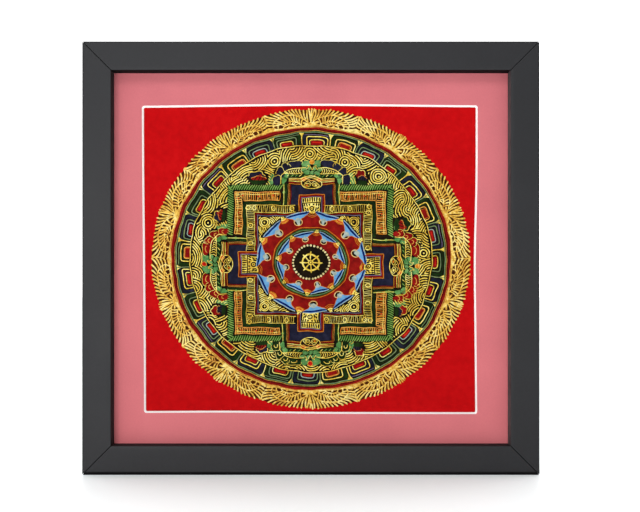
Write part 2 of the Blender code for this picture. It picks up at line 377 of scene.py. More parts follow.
class Film:
    """One paint, gathered from flat fills and raised strokes into one mesh on the cloth.
    Points are mm on the cloth; heights are mm above its face."""

    def __init__(self, name, material):
        self.name, self.material = name, material
        self.verts, self.quads, self.tris, self.count = [], [], [], 0
        FILMS.append(self)

    def add(self, points, heights, quads=(), tris=()):
        points = np.asarray(points, float)
        heights = np.broadcast_to(np.asarray(heights, float), (len(points),))
        self.verts.append(np.column_stack([points, heights]))
        if len(quads):
            self.quads.append(np.asarray(quads, int) + self.count)
        if len(tris):
            self.tris.append(np.asarray(tris, int) + self.count)
        self.count += len(points)

    def stroke(self, points, width, base=0.02, rise=0.08, closed=False, taper=(1.0, 1.0)):
        """A raised line of paint with rounded ends. Its edges dip under what it is painted
        on. taper is the share of its width left at its start and at its end."""
        points = np.asarray(points, float)
        n = len(points)
        if n < 2 or (closed and n < 3):
            return
        widths = np.broadcast_to(np.asarray(width, float), (n,)).copy()
        if not closed:
            share = np.linspace(0.0, 1.0, n)
            widths *= np.minimum(
                1.0,
                np.minimum(
                    taper[0] + (1 - taper[0]) * share * 3,
                    taper[1] + (1 - taper[1]) * (1 - share) * 3,
                ),
            )
            first = points[0] - points[1]
            last = points[-1] - points[-2]
            first /= max(np.linalg.norm(first), 1e-9)
            last /= max(np.linalg.norm(last), 1e-9)
            a, b = widths[0], widths[-1]
            points = np.vstack(
                [
                    points[0] + first * 0.5 * a,
                    points[0] + first * 0.35 * a,
                    points,
                    points[-1] + last * 0.35 * b,
                    points[-1] + last * 0.5 * b,
                ]
            )
            widths = np.concatenate([[0.1 * a, 0.7 * a], widths, [0.7 * b, 0.1 * b]])
            n += 4
            tangent = np.gradient(points, axis=0)
        else:
            tangent = np.roll(points, -1, axis=0) - np.roll(points, 1, axis=0)
        tangent /= np.maximum(np.linalg.norm(tangent, axis=1), 1e-9)[:, None]
        side = np.stack([-tangent[:, 1], tangent[:, 0]], axis=1) * (widths / 2)[:, None]
        crest = base + rise * np.clip(widths / max(widths.max(), 1e-6), 0.0, 1.0)
        sunk = np.full(n, base - 0.012)
        if widths.max() > 0.85:
            rows = [points + side, points + side * 0.5, points - side * 0.5, points - side]
            heights = [sunk, crest, crest, sunk]
        else:
            rows = [points + side, points, points - side]
            heights = [sunk, crest, sunk]
        i = np.arange(n if closed else n - 1)
        j = (i + 1) % n
        quads = np.concatenate(
            [
                np.stack([i + n * k, j + n * k, j + n * (k + 1), i + n * (k + 1)], axis=1)
                for k in range(len(rows) - 1)
            ]
        )
        self.add(np.concatenate(rows), np.concatenate(heights), quads)

    def patch(self, place, us, vs, height, edge_u=None, edge_v=None):
        """A flat film over a grid: place(u, v) gives points on the cloth. Its rim dips under
        what it is painted on, edge_u and edge_v beyond the grid; None leaves it closed."""
        us, vs = np.asarray(us, float), np.asarray(vs, float)
        low = np.zeros((len(us), len(vs)), bool)
        if edge_u is not None:
            us = np.concatenate([[us[0] - edge_u], us, [us[-1] + edge_u]])
            low = np.pad(low, ((1, 1), (0, 0)), constant_values=True)
        if edge_v is not None:
            vs = np.concatenate([[vs[0] - edge_v], vs, [vs[-1] + edge_v]])
            low = np.pad(low, ((0, 0), (1, 1)), constant_values=True)
        nu, nv = len(us), len(vs)
        u, v = np.meshgrid(us, vs, indexing="ij")
        points = place(u.ravel(), v.ravel())
        heights = np.where(low.ravel(), height - 0.035, height)
        i, j = np.meshgrid(
            np.arange(nu if edge_u is None else nu - 1), np.arange(nv - 1), indexing="ij"
        )
        i, j = i.ravel(), j.ravel()
        k = (i + 1) % nu
        quads = np.stack([i * nv + j, k * nv + j, k * nv + j + 1, i * nv + j + 1], axis=1)
        self.add(points, heights, quads)

    def ring(self, zone, inner, outer, height, steps=180, rows=2):
        """A flat band all the way round."""
        self.patch(
            lambda a, r: zone(polar(a, r)),
            np.arange(steps) * 360 / steps,
            np.linspace(inner, outer, rows),
            height,
            edge_v=0.06,
        )

    def sector(self, zone, start, end, inner, outer, height, step=1.2):
        """A flat piece of a band, between two angles."""
        middle = (inner + outer) / 2
        n = max(2, int(math.radians(end - start) * middle / step) + 1)
        self.patch(
            lambda a, r: zone(polar(a, r)),
            np.linspace(start, end, n),
            np.array([inner, outer]),
            height,
            edge_u=math.degrees(0.06 / middle),
            edge_v=0.06,
        )

    def block(self, zone, low, high, height, step=3.0):
        """A flat rectangle from its low to its high local corner."""
        grids = [
            np.linspace(a, b, max(2, int((b - a) / step) + 1)) for a, b in zip(low, high)
        ]
        self.patch(
            lambda u, v: zone(np.stack([u, v], axis=1)), *grids, height, edge_u=0.06, edge_v=0.06
        )

    def shape(self, zone, outline, height):
        """A flat piece of any outline, given as local points."""
        points = zone(outline)
        x, z = points[:, 0], points[:, 1]
        area = (x * np.roll(z, -1) - np.roll(x, -1) * z).sum()
        if area < 0:
            points = points[::-1]
        n = len(points)
        tangent = np.roll(points, -1, axis=0) - np.roll(points, 1, axis=0)
        tangent /= np.maximum(np.linalg.norm(tangent, axis=1), 1e-9)[:, None]
        outward = np.stack([tangent[:, 1], -tangent[:, 0]], axis=1)
        tris = tessellate_polygon([[(p[0], p[1], 0.0) for p in points]])
        i = np.arange(n)
        j = (i + 1) % n
        self.add(
            np.concatenate([points, points + outward * 0.06]),
            np.concatenate([np.full(n, height), np.full(n, height - 0.035)]),
            np.stack([i, i + n, j + n, j], axis=1),
            [t for t in tris if len(set(t)) == 3],
        )

    def dot(self, centre, radius, base=0.02, rise=0.1, sides=10):
        """A round bead of paint, at a place on the cloth."""
        a = np.arange(sides) * 2 * math.pi / sides
        ring = np.stack([np.cos(a), np.sin(a)], axis=1)
        centre = np.asarray(centre, float).reshape(2)
        points = np.concatenate([centre + ring * radius, centre + ring * radius * 0.6, [centre]])
        heights = np.concatenate(
            [np.full(sides, base - 0.012), np.full(sides, base + rise * 0.75), [base + rise]]
        )
        i = np.arange(sides)
        j = (i + 1) % sides
        self.add(
            points,
            heights,
            np.stack([i, j, j + sides, i + sides], axis=1),
            np.stack([i + sides, j + sides, np.full(sides, 2 * sides)], axis=1),
        )

    def object(self):
        """The finished mesh, every face towards the front."""
        verts = np.concatenate(self.verts)
        x, z = verts[:, 0] * MM, verts[:, 1] * MM
        y = cloth_depth(x, z) - verts[:, 2] * MM
        places = np.column_stack([x, y, z])
        faces = []
        if self.quads:
            q = np.concatenate(self.quads)
            a, b = places[q[:, 2]] - places[q[:, 0]], places[q[:, 3]] - places[q[:, 1]]
            wrong = a[:, 0] * b[:, 2] - a[:, 2] * b[:, 0] < 0
            q[wrong] = q[wrong][:, ::-1]
            faces += q.tolist()
        if self.tris:
            t = np.concatenate(self.tris)
            a, b = places[t[:, 1]] - places[t[:, 0]], places[t[:, 2]] - places[t[:, 0]]
            wrong = a[:, 0] * b[:, 2] - a[:, 2] * b[:, 0] < 0
            t[wrong] = t[wrong][:, ::-1]
            faces += t.tolist()
        mesh = bpy.data.meshes.new(self.name)
        mesh.from_pydata(places.tolist(), [], faces)
        mesh.validate()
        mesh.update()
        return show(self.name, mesh, [self.material])


def jitter(amount, size=None):
    return rng.uniform(-amount, amount, size)


# ----------------------------------------------------------------- zones of the design
RINGS = Zone(0.0, 129.8, 1.0, 0.938)  # the great circles
PALACE = Zone(-0.4, 127.2, 1.0, 0.944)  # the square, set a little low in them
COURT = Zone(-1.1, 126.5, 1.0, 0.944)  # its inner walls, drawn a little off its middle
LOTUS = Zone(0.0, 127.5, 1.0, 0.927)  # the flower circles in its middle

ground = Film("paint_black_ground", BLACK)
brown = Film("paint_red_brown", BROWN)
red = Film("paint_deep_red", DEEP_RED)
scarlet = Film("paint_scarlet", SCARLET)
green = Film("paint_green", GREEN)
dark_green = Film("paint_dark_green", DARK_GREEN)
pale_green = Film("paint_pale_green", PALE_GREEN)
leaf_green = Film("paint_leaf_green", LEAF_GREEN)
sage = Film("paint_sage", SAGE)
navy = Film("paint_navy", NAVY)
night = Film("paint_night_blue", NIGHT)
sky = Film("paint_sky_blue", SKY)
blue = Film("paint_strong_blue", STRONG_BLUE)
orange = Film("paint_orange", ORANGE)
plum = Film("paint_plum", PLUM)
mist = Film("paint_mist", MIST)
bead = Film("paint_pale_gold", PALE_GOLD)
amber = Film("paint_gold_amber", GOLD_ORANGE)
gold_flame = Film("paint_gold_flames", FLAME_GOLD)
gold_cloud = Film("paint_gold_clouds", GOLD)
gold_line = Film("paint_gold_lines", GOLD)

# Heights of the flat films, mm above the cloth
LOW, MIDDLE, HIGH, TOP = 0.02, 0.04, 0.06, 0.08


def circle(film, zone, radius, width, base=LOW, rise=0.08, wobble=0.0):
    n = int(2 * math.pi * radius / 1.1)
    a = np.arange(n) * 360 / n
    r = radius + wobble * np.sin(np.radians(a) * 7 + radius)
    film.stroke(zone(polar(a, r)), width, base, rise, closed=True)


def oval(centre, across, deep, turn=0.0, steps=18):
    """Local points round an oval."""
    a = np.arange(steps) * 2 * math.pi / steps
    c, s = math.cos(math.radians(turn)), math.sin(math.radians(turn))
    u, v = across * np.cos(a), deep * np.sin(a)
    return np.stack([centre[0] + u * c + v * s, centre[1] + v * c - u * s], axis=1)


def lobes(centre, across, deep, turn=0.0, bumps=5, phase=0.0, steps=40):
    """The outline of a small cloud: an oval with rounded bumps."""
    a = np.arange(steps) * 2 * math.pi / steps
    r = 0.86 + 0.26 * np.abs(np.sin(a * bumps / 2 + phase))
    c, s = math.cos(math.radians(turn)), math.sin(math.radians(turn))
    u, v = across * r * np.cos(a), deep * r * np.sin(a)
    return np.stack([centre[0] + u * c + v * s, centre[1] + v * c - u * s], axis=1)


def closed_curve(points, step=0.45):
    """A smooth closed curve through a few points."""
    p = np.asarray(points, float)
    n = len(p)
    found = []
    for i in range(n):
        a, b, c, d = p[i - 1], p[i], p[(i + 1) % n], p[(i + 2) % n]
        m = max(2, int(np.linalg.norm(c - b) / step) + 1)
        t = np.linspace(0, 1, m, endpoint=False)[:, None]
        found.append(
            0.5
            * (
                2 * b
                + (c - a) * t
                + (2 * a - 5 * b + 4 * c - d) * t**2
                + (3 * b - a - 3 * c + d) * t**3
            )
        )
    return np.concatenate(found)


# ----------------------------------------------------------------- the great rings
# Radii, mm
FLAME_TIP = 96.5
FLAME_FOOT = 85.5
RED_RING = (83.3, 85.6)
KEY_RING = (74.4, 81.4)
CLOUD_EDGE = 73.7

ground.patch(
    lambda a, r: RINGS(polar(a, r)),
    np.arange(200) * 1.8,
    np.concatenate([[0.5, 12.0], np.linspace(20.0, 86.2, 18)]),
    LOW,
    edge_v=0.06,
)
brown.ring(RINGS, 86.0, 96.9, LOW, 200, 4)
gold_flame.ring(RINGS, 85.9, 86.7, MIDDLE)
red.ring(RINGS, *RED_RING, MIDDLE)
circle(ground, RINGS, 83.7, 0.5, MIDDLE, 0.03, 0.1)
circle(amber, RINGS, 85.5, 0.4, MIDDLE, 0.06, 0.1)
circle(green, RINGS, 82.6, 0.9, LOW, 0.05)
circle(sage, RINGS, 82.1, 0.7, MIDDLE, 0.06, 0.1)
circle(amber, RINGS, 82.9, 0.3, MIDDLE, 0.06, 0.1)
circle(gold_line, RINGS, CLOUD_EDGE + 0.15, 0.5, MIDDLE, 0.09, 0.35)


# ----------------------------------------------------------------- the ring of flames and leaves
# Ten tufts stand round the ring; between two of them two leaf scrolls lie, foot to a tuft.
TUFTS = [0.0, 35.2, 71.0, 108.5, 145.0, 180.5, 216.0, 251.5, 289.0, 325.5, 360.0]
MID_RADIUS = 92.0
LEAF_REACH = 28.9  # from a tuft to where its leaf meets the next, mm
# Distance from the tuft and height over the foot, mm: a leaf's outer line, and the line inside
OUTER_LINE = [(1.4, 3.2), (3.4, 5.2), (7.0, 7.3), (11.5, 8.6), (16.5, 8.7), (20.8, 7.7), (23.9, 5.7), (25.0, 3.4), (24.0, 1.3)]
INNER_LINE = [(5.9, 1.7), (8.4, 3.4), (11.8, 4.6), (16.2, 4.8), (19.6, 4.1), (21.5, 3.1), (21.9, 1.7)]


def degrees_of(length, radius=MID_RADIUS):
    return np.degrees(np.asarray(length) / radius)


def evenly(curve, step):
    """Points along a curve at an even step."""
    lengths = np.concatenate([[0], np.cumsum(np.linalg.norm(np.diff(curve, axis=0), axis=1))])
    n = max(2, int(round(lengths[-1] / step)) + 1)
    t = np.linspace(0, lengths[-1], n)
    return np.stack([np.interp(t, lengths, curve[:, 0]), np.interp(t, lengths, curve[:, 1])], axis=1)


def leaf(tuft, sign, reach, height):
    """One leaf scroll on one side of a tuft, with the fringe of flames that grows from it."""
    wide, tall = reach / LEAF_REACH, height

    def place(points):
        q = np.asarray(points, float)
        return RINGS(polar(tuft + sign * degrees_of(q[:, 0] * wide), FLAME_FOOT + q[:, 1]))

    outer = smooth_path(np.array(OUTER_LINE) * [1.0, tall], 0.5)
    inner = smooth_path(np.array(INNER_LINE) * [1.0, tall], 0.5)
    gold_flame.stroke(place(outer), 1.0, LOW, 0.13, taper=(0.8, 0.6))
    gold_flame.stroke(place(inner), 0.8, LOW, 0.12)
    # ribs between the two lines, their outer ends farther from the tuft
    pitch = 2.05 + jitter(0.12)
    count = int(24.0 * wide / pitch)
    for k in range(count):
        share = 0.13 + 0.85 * (k + jitter(0.06)) / count
        top = outer[int(np.clip(share + 0.03, 0, 1) * (len(outer) - 1))]
        low = inner[int(np.clip((share - 0.1) / 0.9, 0, 1) * (len(inner) - 1))]
        t = np.linspace(0, 1, 5)[:, None]
        bend = np.array([0.35, 0.0]) * np.sin(math.pi * t)
        gold_flame.stroke(
            place(low + (top - low) * t + bend), pitch - 1.12, LOW, 0.1, taper=(0.75, 0.9)
        )
    # nested arcs with short ribs, and a small curl
    centre = np.array([14.8, 0.9])
    for shrink, width in ((0.5, 0.75),):
        ring = centre + (inner - centre) * shrink
        gold_flame.stroke(place(ring), width, LOW, 0.1)
    for k in range(7):
        low = centre + (inner[int((0.12 + 0.115 * k) * (len(inner) - 1))] - centre) * 0.52
        top = centre + (inner[int((0.15 + 0.115 * k) * (len(inner) - 1))] - centre) * 0.97
        gold_flame.stroke(place(np.linspace(low, top, 4)), 0.7 + jitter(0.1), LOW, 0.09)
    gold_flame.dot(place([centre + [jitter(0.5), 0.5]])[0], 0.7, LOW, 0.12)
    # the gold under the leaf's foot and round its blunt end
    gold_flame.stroke(place(smooth_path([(1.0, 1.6), (2.6, 2.6), (4.6, 3.4)])), 1.1, LOW, 0.11)
    base = [(0.0, 0.9), (5.4, 0.8), (12.0, 0.6), (20.0, 0.7), (LEAF_REACH + 0.3, 0.9), (LEAF_REACH + 0.3, 2.4), (26.0, 1.5), (20.0, 1.2), (12.0, 1.1), (5.0, 1.7), (2.2, 2.7), (0.0, 3.4)]
    gold_flame.shape(RINGS, _ringward(tuft, sign, np.array(base) * [wide, 1.0]), MIDDLE)
    # the fringe: strokes from the outer line to the tips, leaning away from the tuft
    arch = evenly(outer, 0.1)
    along_arch = np.linspace(0, 1, len(arch))
    lean = np.radians(np.interp(along_arch, [0, 0.1, 0.3, 0.5, 0.7, 0.85, 1.0], [4, 17, 33, 44, 52, 66, 84]))
    tangent = np.gradient(arch, axis=0)
    tangent /= np.linalg.norm(tangent, axis=1)[:, None]
    headings = np.stack([np.sin(lean), np.cos(lean)], axis=1)
    tip_height = FLAME_TIP - FLAME_FOOT
    rooms = np.minimum(
        (tip_height - arch[:, 1]) / np.maximum(headings[:, 1], 0.18),
        (LEAF_REACH - 0.9 - arch[:, 0]) / np.maximum(headings[:, 0], 0.05),
    )
    middles = arch + headings * (0.6 * rooms)[:, None]
    arch = arch + 0.55 * np.stack([-tangent[:, 1], tangent[:, 0]], axis=1)  # clear of the line
    last = np.array([0.75, 8.0])
    for k in range(len(arch)):
        step = middles[k] - last
        if abs(step[0] * headings[k, 1] - step[1] * headings[k, 0]) < 1.66 + jitter(0.06):
            continue
        last = middles[k]
        length = rooms[k] + jitter(0.4)
        if length < 1.0:
            continue
        heading = headings[k]
        t = np.linspace(0, 1, 7)[:, None]
        # the stroke sets off along the arch and turns outwards
        points = (
            arch[k]
            + heading * length * t
            + np.array([heading[1], -heading[0]]) * 0.07 * length * np.sin(math.pi * t)
        )
        gold_flame.stroke(
            place(points),
            np.interp(t[:, 0], [0, 0.5, 1], [0.7, 1.0, 1.04]) + jitter(0.06),
            LOW,
            0.13,
        )


def _ringward(tuft, sign, q):
    return polar(tuft + sign * degrees_of(q[:, 0]), FLAME_FOOT + q[:, 1])


for index, tuft in enumerate(TUFTS[:-1]):
    before = 360.0 - TUFTS[-2] if index == 0 else tuft - TUFTS[index - 1]
    after = TUFTS[index + 1] - tuft
    for sign, span in ((-1, before), (1, after)):
        leaf(tuft, sign, math.radians(span / 2) * MID_RADIUS, 1.0 + jitter(0.05))
    # an upright stroke where its second leaf meets the next tuft's
    t = np.linspace(0, 1, 6)
    gold_flame.stroke(
        RINGS(polar(tuft + after / 2 + degrees_of(0.3 * np.sin(3 * t)), FLAME_FOOT + 5.6 + (5.4 + jitter(0.2)) * t)),
        np.interp(t, [0, 0.5, 1], [0.6, 0.85, 1.0]),
        LOW,
        0.12,
    )
    # the tuft's own middle strokes
    for k in (-1, 0, 1):
        t = np.linspace(0, 1, 8)
        gold_flame.stroke(
            RINGS(polar(tuft + k * 0.95 * t**1.2 + jitter(0.1), FLAME_FOOT + 2.5 + (9.4 + jitter(0.3)) * t)),
            np.interp(t, [0, 0.6, 1], [0.6, 1.1, 0.9]),
            LOW,
            0.13,
        )

# ----------------------------------------------------------------- the ring of key blocks
KEYS = 28
KEY_TURN = 360 / KEYS


def rounded_arch(centre, left, right, foot, top, round_off):
    """Angles and radii along an arch with rounded shoulders; left, right and round_off in mm."""
    points = [
        (left, foot),
        (left, top - round_off),
        (left + 0.3 * round_off, top - 0.3 * round_off),
        (left + round_off, top),
        (right - round_off, top),
        (right - 0.3 * round_off, top - 0.3 * round_off),
        (right, top - round_off),
        (right, foot),
    ]
    steps = path(points, 0.7)
    return polar(centre + np.degrees(steps[:, 0] / 78.0), steps[:, 1])


for k in range(KEYS):
    centre = 2.2 + k * KEY_TURN
    low, high = KEY_RING
    even = k % 2 == 0
    body = night if even else dark_green
    half = 8.2  # of the block, mm
    ground.sector(
        RINGS, centre - degrees_of(half, 78), centre + degrees_of(half, 78), low, high + 0.4, MIDDLE
    )
    body.sector(
        RINGS, centre - degrees_of(half, 78), centre + degrees_of(half, 78), low, high - 0.5, HIGH - 0.01
    )
    if k % 3 == 0:
        (plum if even else sage).sector(
            RINGS,
            centre - degrees_of(half - 1.2, 78),
            centre + degrees_of(half - 1.0, 78),
            high - 0.95,
            high - 0.65,
            HIGH,
        )
    shift = (1.0 if k % 4 < 2 else -0.9) + jitter(0.35)
    wide = 6.2 + jitter(0.35)
    tall = high - 2.2 + jitter(0.25)
    line = (gold_line, mist, sage, mist)[(k * 3) % 4] if even else (gold_line, sage)[(k // 2) % 2]

    def arch(film, inset, width, base, rise=0.07):
        film.stroke(
            RINGS(
                rounded_arch(
                    centre, shift - wide + inset, shift + wide - inset, low + 0.1, tall - inset, 1.3
                )
            ),
            width,
            base,
            rise,
        )

    ground.sector(
        RINGS,
        centre + degrees_of(shift - wide + 0.2, 78),
        centre + degrees_of(shift + wide - 0.2, 78),
        low,
        tall - 0.2,
        HIGH,
    )
    arch(ground, -0.62, 0.75, HIGH - 0.005, 0.02)
    arch(line, 0.0, 0.6, HIGH + 0.005)
    arch(body, 1.0, 0.5, HIGH + 0.005, 0.03)
    arch((gold_line, amber, mist, gold_line)[k % 4], 1.9, 0.5, HIGH + 0.01)
    block = min(wide - 2.6, 3.4) + jitter(0.2)
    jewel_top = tall - 2.4
    jewel = [(shift - block, low - 0.2), (shift + block, low - 0.2), (shift + block * 0.93, jewel_top), (shift - block * 0.93, jewel_top)]
    jewel = closed_curve(path(jewel, 1.5, closed=True), 0.7)
    jewel = polar(centre + np.degrees(jewel[:, 0] / 77.0), jewel[:, 1])
    red.shape(RINGS, jewel, TOP)
    if k % 4 == 1:
        orange.stroke(RINGS(jewel), 0.26, TOP, 0.05, closed=True)
    else:
        scarlet.sector(
            RINGS, centre + degrees_of(shift - block * 0.7, 77), centre + degrees_of(shift + block * 0.7, 77),
            (low + jewel_top) / 2 - 0.2, (low + jewel_top) / 2 + 0.5, TOP + 0.015,
        )
    # the divider, forked at its outer end
    edge = centre + KEY_TURN / 2
    r = np.linspace(low, high + 0.2, 9)
    ground.stroke(RINGS(polar(np.full(9, edge), r)), 1.5, HIGH, 0.02)
    (sage if k % 3 else gold_line).stroke(RINGS(polar(np.full(9, edge) + jitter(0.1), r)), 0.66, HIGH + 0.01, 0.08)
    crown = np.array([(-1.7, high + 0.5), (1.7, high + 0.5), (0.6, high - 1.0), (0.35, high - 2.2), (-0.35, high - 2.2), (-0.6, high - 1.0)])
    gold_line.shape(RINGS, polar(edge + np.degrees(crown[:, 0] / 81.0), crown[:, 1]), HIGH + 0.02)


# ----------------------------------------------------------------- the sea of clouds
def swirls(film, seeds, eyes, allowed, pitch=1.4, width=0.7, gap=0.25):
    """Clouds on black, in patches: each patch holds the places nearer to its seed than to
    another. Round an eye the strokes are rings; elsewhere they are arcs from one side."""
    seeds = np.asarray(seeds, float)
    for i, seed in enumerate(seeds):
        size = 1.85 * rng.uniform(0.92, 1.15)
        n = max(12, int(2 * math.pi * size / 0.6))
        a = np.arange(n) * 2 * math.pi / n
        ring = seed + size * np.stack([np.cos(a), np.sin(a)], axis=1)
        eye = eyes[i] and allowed(ring).all()
        if eye:
            centre, first = seed, size
            film.stroke(hand(ring), width * 1.15, LOW, 0.12, closed=True)
            film.dot(hand(seed + jitter(0.25, (1, 2)))[0], 0.55, LOW, 0.12, 10)
        else:
            a = rng.uniform(0, 2 * math.pi)
            centre = seed + rng.uniform(4.0, 9.0) * np.array([math.cos(a), math.sin(a)])
            first = 0.6
        for k in range(1 if eye else 0, 18):
            r = first + k * pitch * rng.uniform(0.98, 1.02)
            n = max(14, int(2 * math.pi * r / 0.66))
            a = np.arange(n) * 2 * math.pi / n
            p = centre + r * np.stack([np.cos(a), np.sin(a)], axis=1)
            away = np.linalg.norm(p[:, None, :] - seeds[None], axis=2)
            own = away[:, i].copy()
            away[:, i] = np.inf
            keep = (away.min(axis=1) - own > -gap) & allowed(p)
            if not keep.any():
                continue
            if keep.all():
                film.stroke(hand(p), width + jitter(0.05), LOW, 0.11, closed=True)
                continue
            turn = int(np.argmin(keep))
            p, keep = np.roll(p, -turn, axis=0), np.roll(keep, -turn)
            edges = np.flatnonzero(np.diff(np.concatenate([[0], keep.astype(int), [0]])))
            for a0, a1 in zip(edges[::2], edges[1::2]):
                if a1 - a0 >= 2:
                    film.stroke(
                        hand(p[a0:a1]), width + jitter(0.06), LOW, 0.11, taper=(0.85, 0.85)
                    )


# The square's nested lines: half-widths, mm
HEDGE = (47.1, 50.0)
BRICK = (40.9, 46.1)
HALL = (33.2, 38.3)
INNER_RED = 32.4
INNER_PLUM = 31.4
GATE_HALF = 12.5  # of a gate's dark body
GATE_TOP = 50.4

# Beside a gate's roof: a chain of clouds that climbs to the middle. u, v, across, deep
CHAIN = [
    (9.9, 63.9, 4.0, 2.3),
    (15.4, 62.0, 2.5, 2.4),
    (19.0, 58.4, 2.4, 3.2),
    (21.2, 53.6, 2.2, 3.3),
]


def inside_palace(p, margin=0.0):
    q = PALACE.back(p)
    return (np.abs(q) < HEDGE[1] + 0.7 + margin).all(axis=1)


def inside_gate(p, margin=0.0):
    q = np.abs(PALACE.back(p))
    found = np.zeros(len(p), bool)
    for u, v in ((q[:, 0], q[:, 1]), (q[:, 1], q[:, 0])):
        found |= (u < 18.4 + margin) & (v < 60.8 + margin)
        found |= (u < 6.8 + margin) & (v < 65.8 + margin)
        for cu, cv, across, deep in CHAIN:
            found |= ((u - cu) / (across + 0.8 + margin)) ** 2 + (
                (v - cv) / (deep + 0.8 + margin)
            ) ** 2 < 1
    return found


# Offering heaps in the corners of the sea, on the hedge: u, v (from the palace's middle),
# size across and up, turn of the side they stand on
HEAPS = [
    (0, -32.5, 54.9, 5.8, 4.2, "navy"),
    (0, 31.0, 55.2, 3.6, 5.0, "red"),
    (90, -24.5, 55.6, 4.6, 5.0, "green"),
    (90, 31.0, 54.6, 3.6, 4.2, "red"),
    (180, -29.0, 55.8, 3.4, 4.8, "red"),
    (180, 30.0, 54.4, 4.0, 4.0, "navy"),
    (270, -30.5, 56.4, 3.8, 4.6, "red"),
    (270, 31.0, 55.4, 4.0, 3.9, "navy"),
]


def near_heap(p):
    found = np.zeros(len(p), bool)
    for turn, u, v, across, deep, _ in HEAPS:
        q = Zone(0.0, 127.2, 1.0, 0.944, turn).back(p)
        found |= ((q[:, 0] - u) / (across + 0.9)) ** 2 + ((q[:, 1] - v) / (deep + 0.9)) ** 2 < 1
    return found


def in_sea(p):
    r = np.linalg.norm(RINGS.back(p), axis=1)
    return (r < CLOUD_EDGE - 0.8) & ~inside_palace(p) & ~inside_gate(p) & ~near_heap(p)


# eyes stand where the sea is widest; between them the patches have none
seeds, eyes = [], []
for a, r in (
    (-1.0, 68.6),
    (-19.0, 67.5),
    (17.5, 66.0),
    (38.0, 67.5),
    (52.5, 66.0),
    (68.5, 67.5),
    (107.0, 66.5),
    (124.0, 68.0),
    (141.0, 66.5),
    (157.0, 68.5),
    (-166.0, 68.0),
    (-139.0, 67.0),
    (-122.0, 66.5),
    (-98.0, 68.5),
    (-69.0, 66.5),
    (-52.0, 66.0),
    (-36.0, 67.5),
    (86.0, 69.0),
):
    seeds.append(RINGS.flat(polar(a + jitter(1.0), r + jitter(0.5)))[0])
    eyes.append(True)
for _ in range(4000):
    spot = RINGS.flat(polar(rng.uniform(0, 360), rng.uniform(50.0, 73.0)))[0]
    if in_sea(spot[None])[0] and min(np.linalg.norm(spot - other) for other in seeds) > 6.6:
        seeds.append(spot)
        eyes.append(False)
swirls(gold_cloud, seeds, eyes, in_sea)

for turn, u, v, across, deep, colour in HEAPS:
    side = Zone(0.0, 127.2, 1.0, 0.944, turn)
    back, front = (navy, red) if colour == "navy" else (red, navy) if colour == "red" else (dark_green, red)
    ground.shape(side, oval((u, v), across + 0.7, deep + 0.7), MIDDLE)
    back.shape(side, lobes((u - 0.15 * across, v + 0.3 * deep), across * 0.8, deep * 0.62, 0, 5, u), HIGH)
    front.shape(side, lobes((u + 0.1 * across, v - 0.1 * deep), across * 0.75, deep * 0.42, 0, 4, v), HIGH + 0.01)
    dark_green.shape(side, lobes((u, v - 0.62 * deep), across * 0.85, deep * 0.3, 0, 6, u), HIGH + 0.02)
    amber.stroke(
        side(lobes((u + 0.1 * across, v - 0.1 * deep), across * 0.7, deep * 0.36, 0, 4, v)[0:21]),
        0.26,
        TOP,
        0.06,
    )
    gold_line.stroke(
        side(lobes((u - 0.15 * across, v + 0.3 * deep), across * 0.86, deep * 0.68, 0, 5, u)[0:21]),
        0.42,
        TOP,
        0.08,
    )
    red.dot(side(np.array([[u + 0.3 * across, v + 0.35 * deep]]))[0], 0.8, TOP, 0.05)
    for k in range(3):
        x = u + (0.4 * k - 0.4) * across
        ground.stroke(side(along((x, v - 0.35 * deep), (x + 0.2 * across, v + 0.1 * deep))), 0.5, HIGH + 0.04, 0.02)

# ----------------------------------------------------------------- the square palace
GATE_TURNS = (0, 90, 180, 270)
SIDES = [Zone(-0.4, 127.2, 1.0, 0.944, turn) for turn in GATE_TURNS]
COURT_SIDES = [Zone(-1.1, 126.5, 1.0, 0.944, turn) for turn in GATE_TURNS]
OFFSETS = (-0.75, -0.7, 0.75, 0.7)  # of the court's walls from the hedge's, outwards

# a green hedge of slanting leaves round the outside
for side in SIDES:
    h0, h1 = HEDGE
    for left, right in ((-h1, -18.2), (18.2, h1)):
        dark_green.block(side, (left, h0), (right, h1 - 0.7), MIDDLE, 4.0)
        n = int((right - left) / 1.4)
        for k in range(n + 1):
            u = left + (right - left) * (k + 0.3) / n
            t = np.linspace(0, 1, 6)
            low = max(h0 + 0.15, abs(u) if abs(u) > h0 else 0.0)
            if h1 - low < 0.6 or abs(u) > h1:
                continue
            points = np.stack(
                [u - 0.7 + 1.6 * t**1.2, low + (h1 + 0.45 + jitter(0.15) - low) * t], axis=1
            )
            leaf_green.stroke(
                side(points), np.interp(t, [0, 0.6, 1], [0.5, 0.74, 0.45]), MIDDLE, 0.09
            )

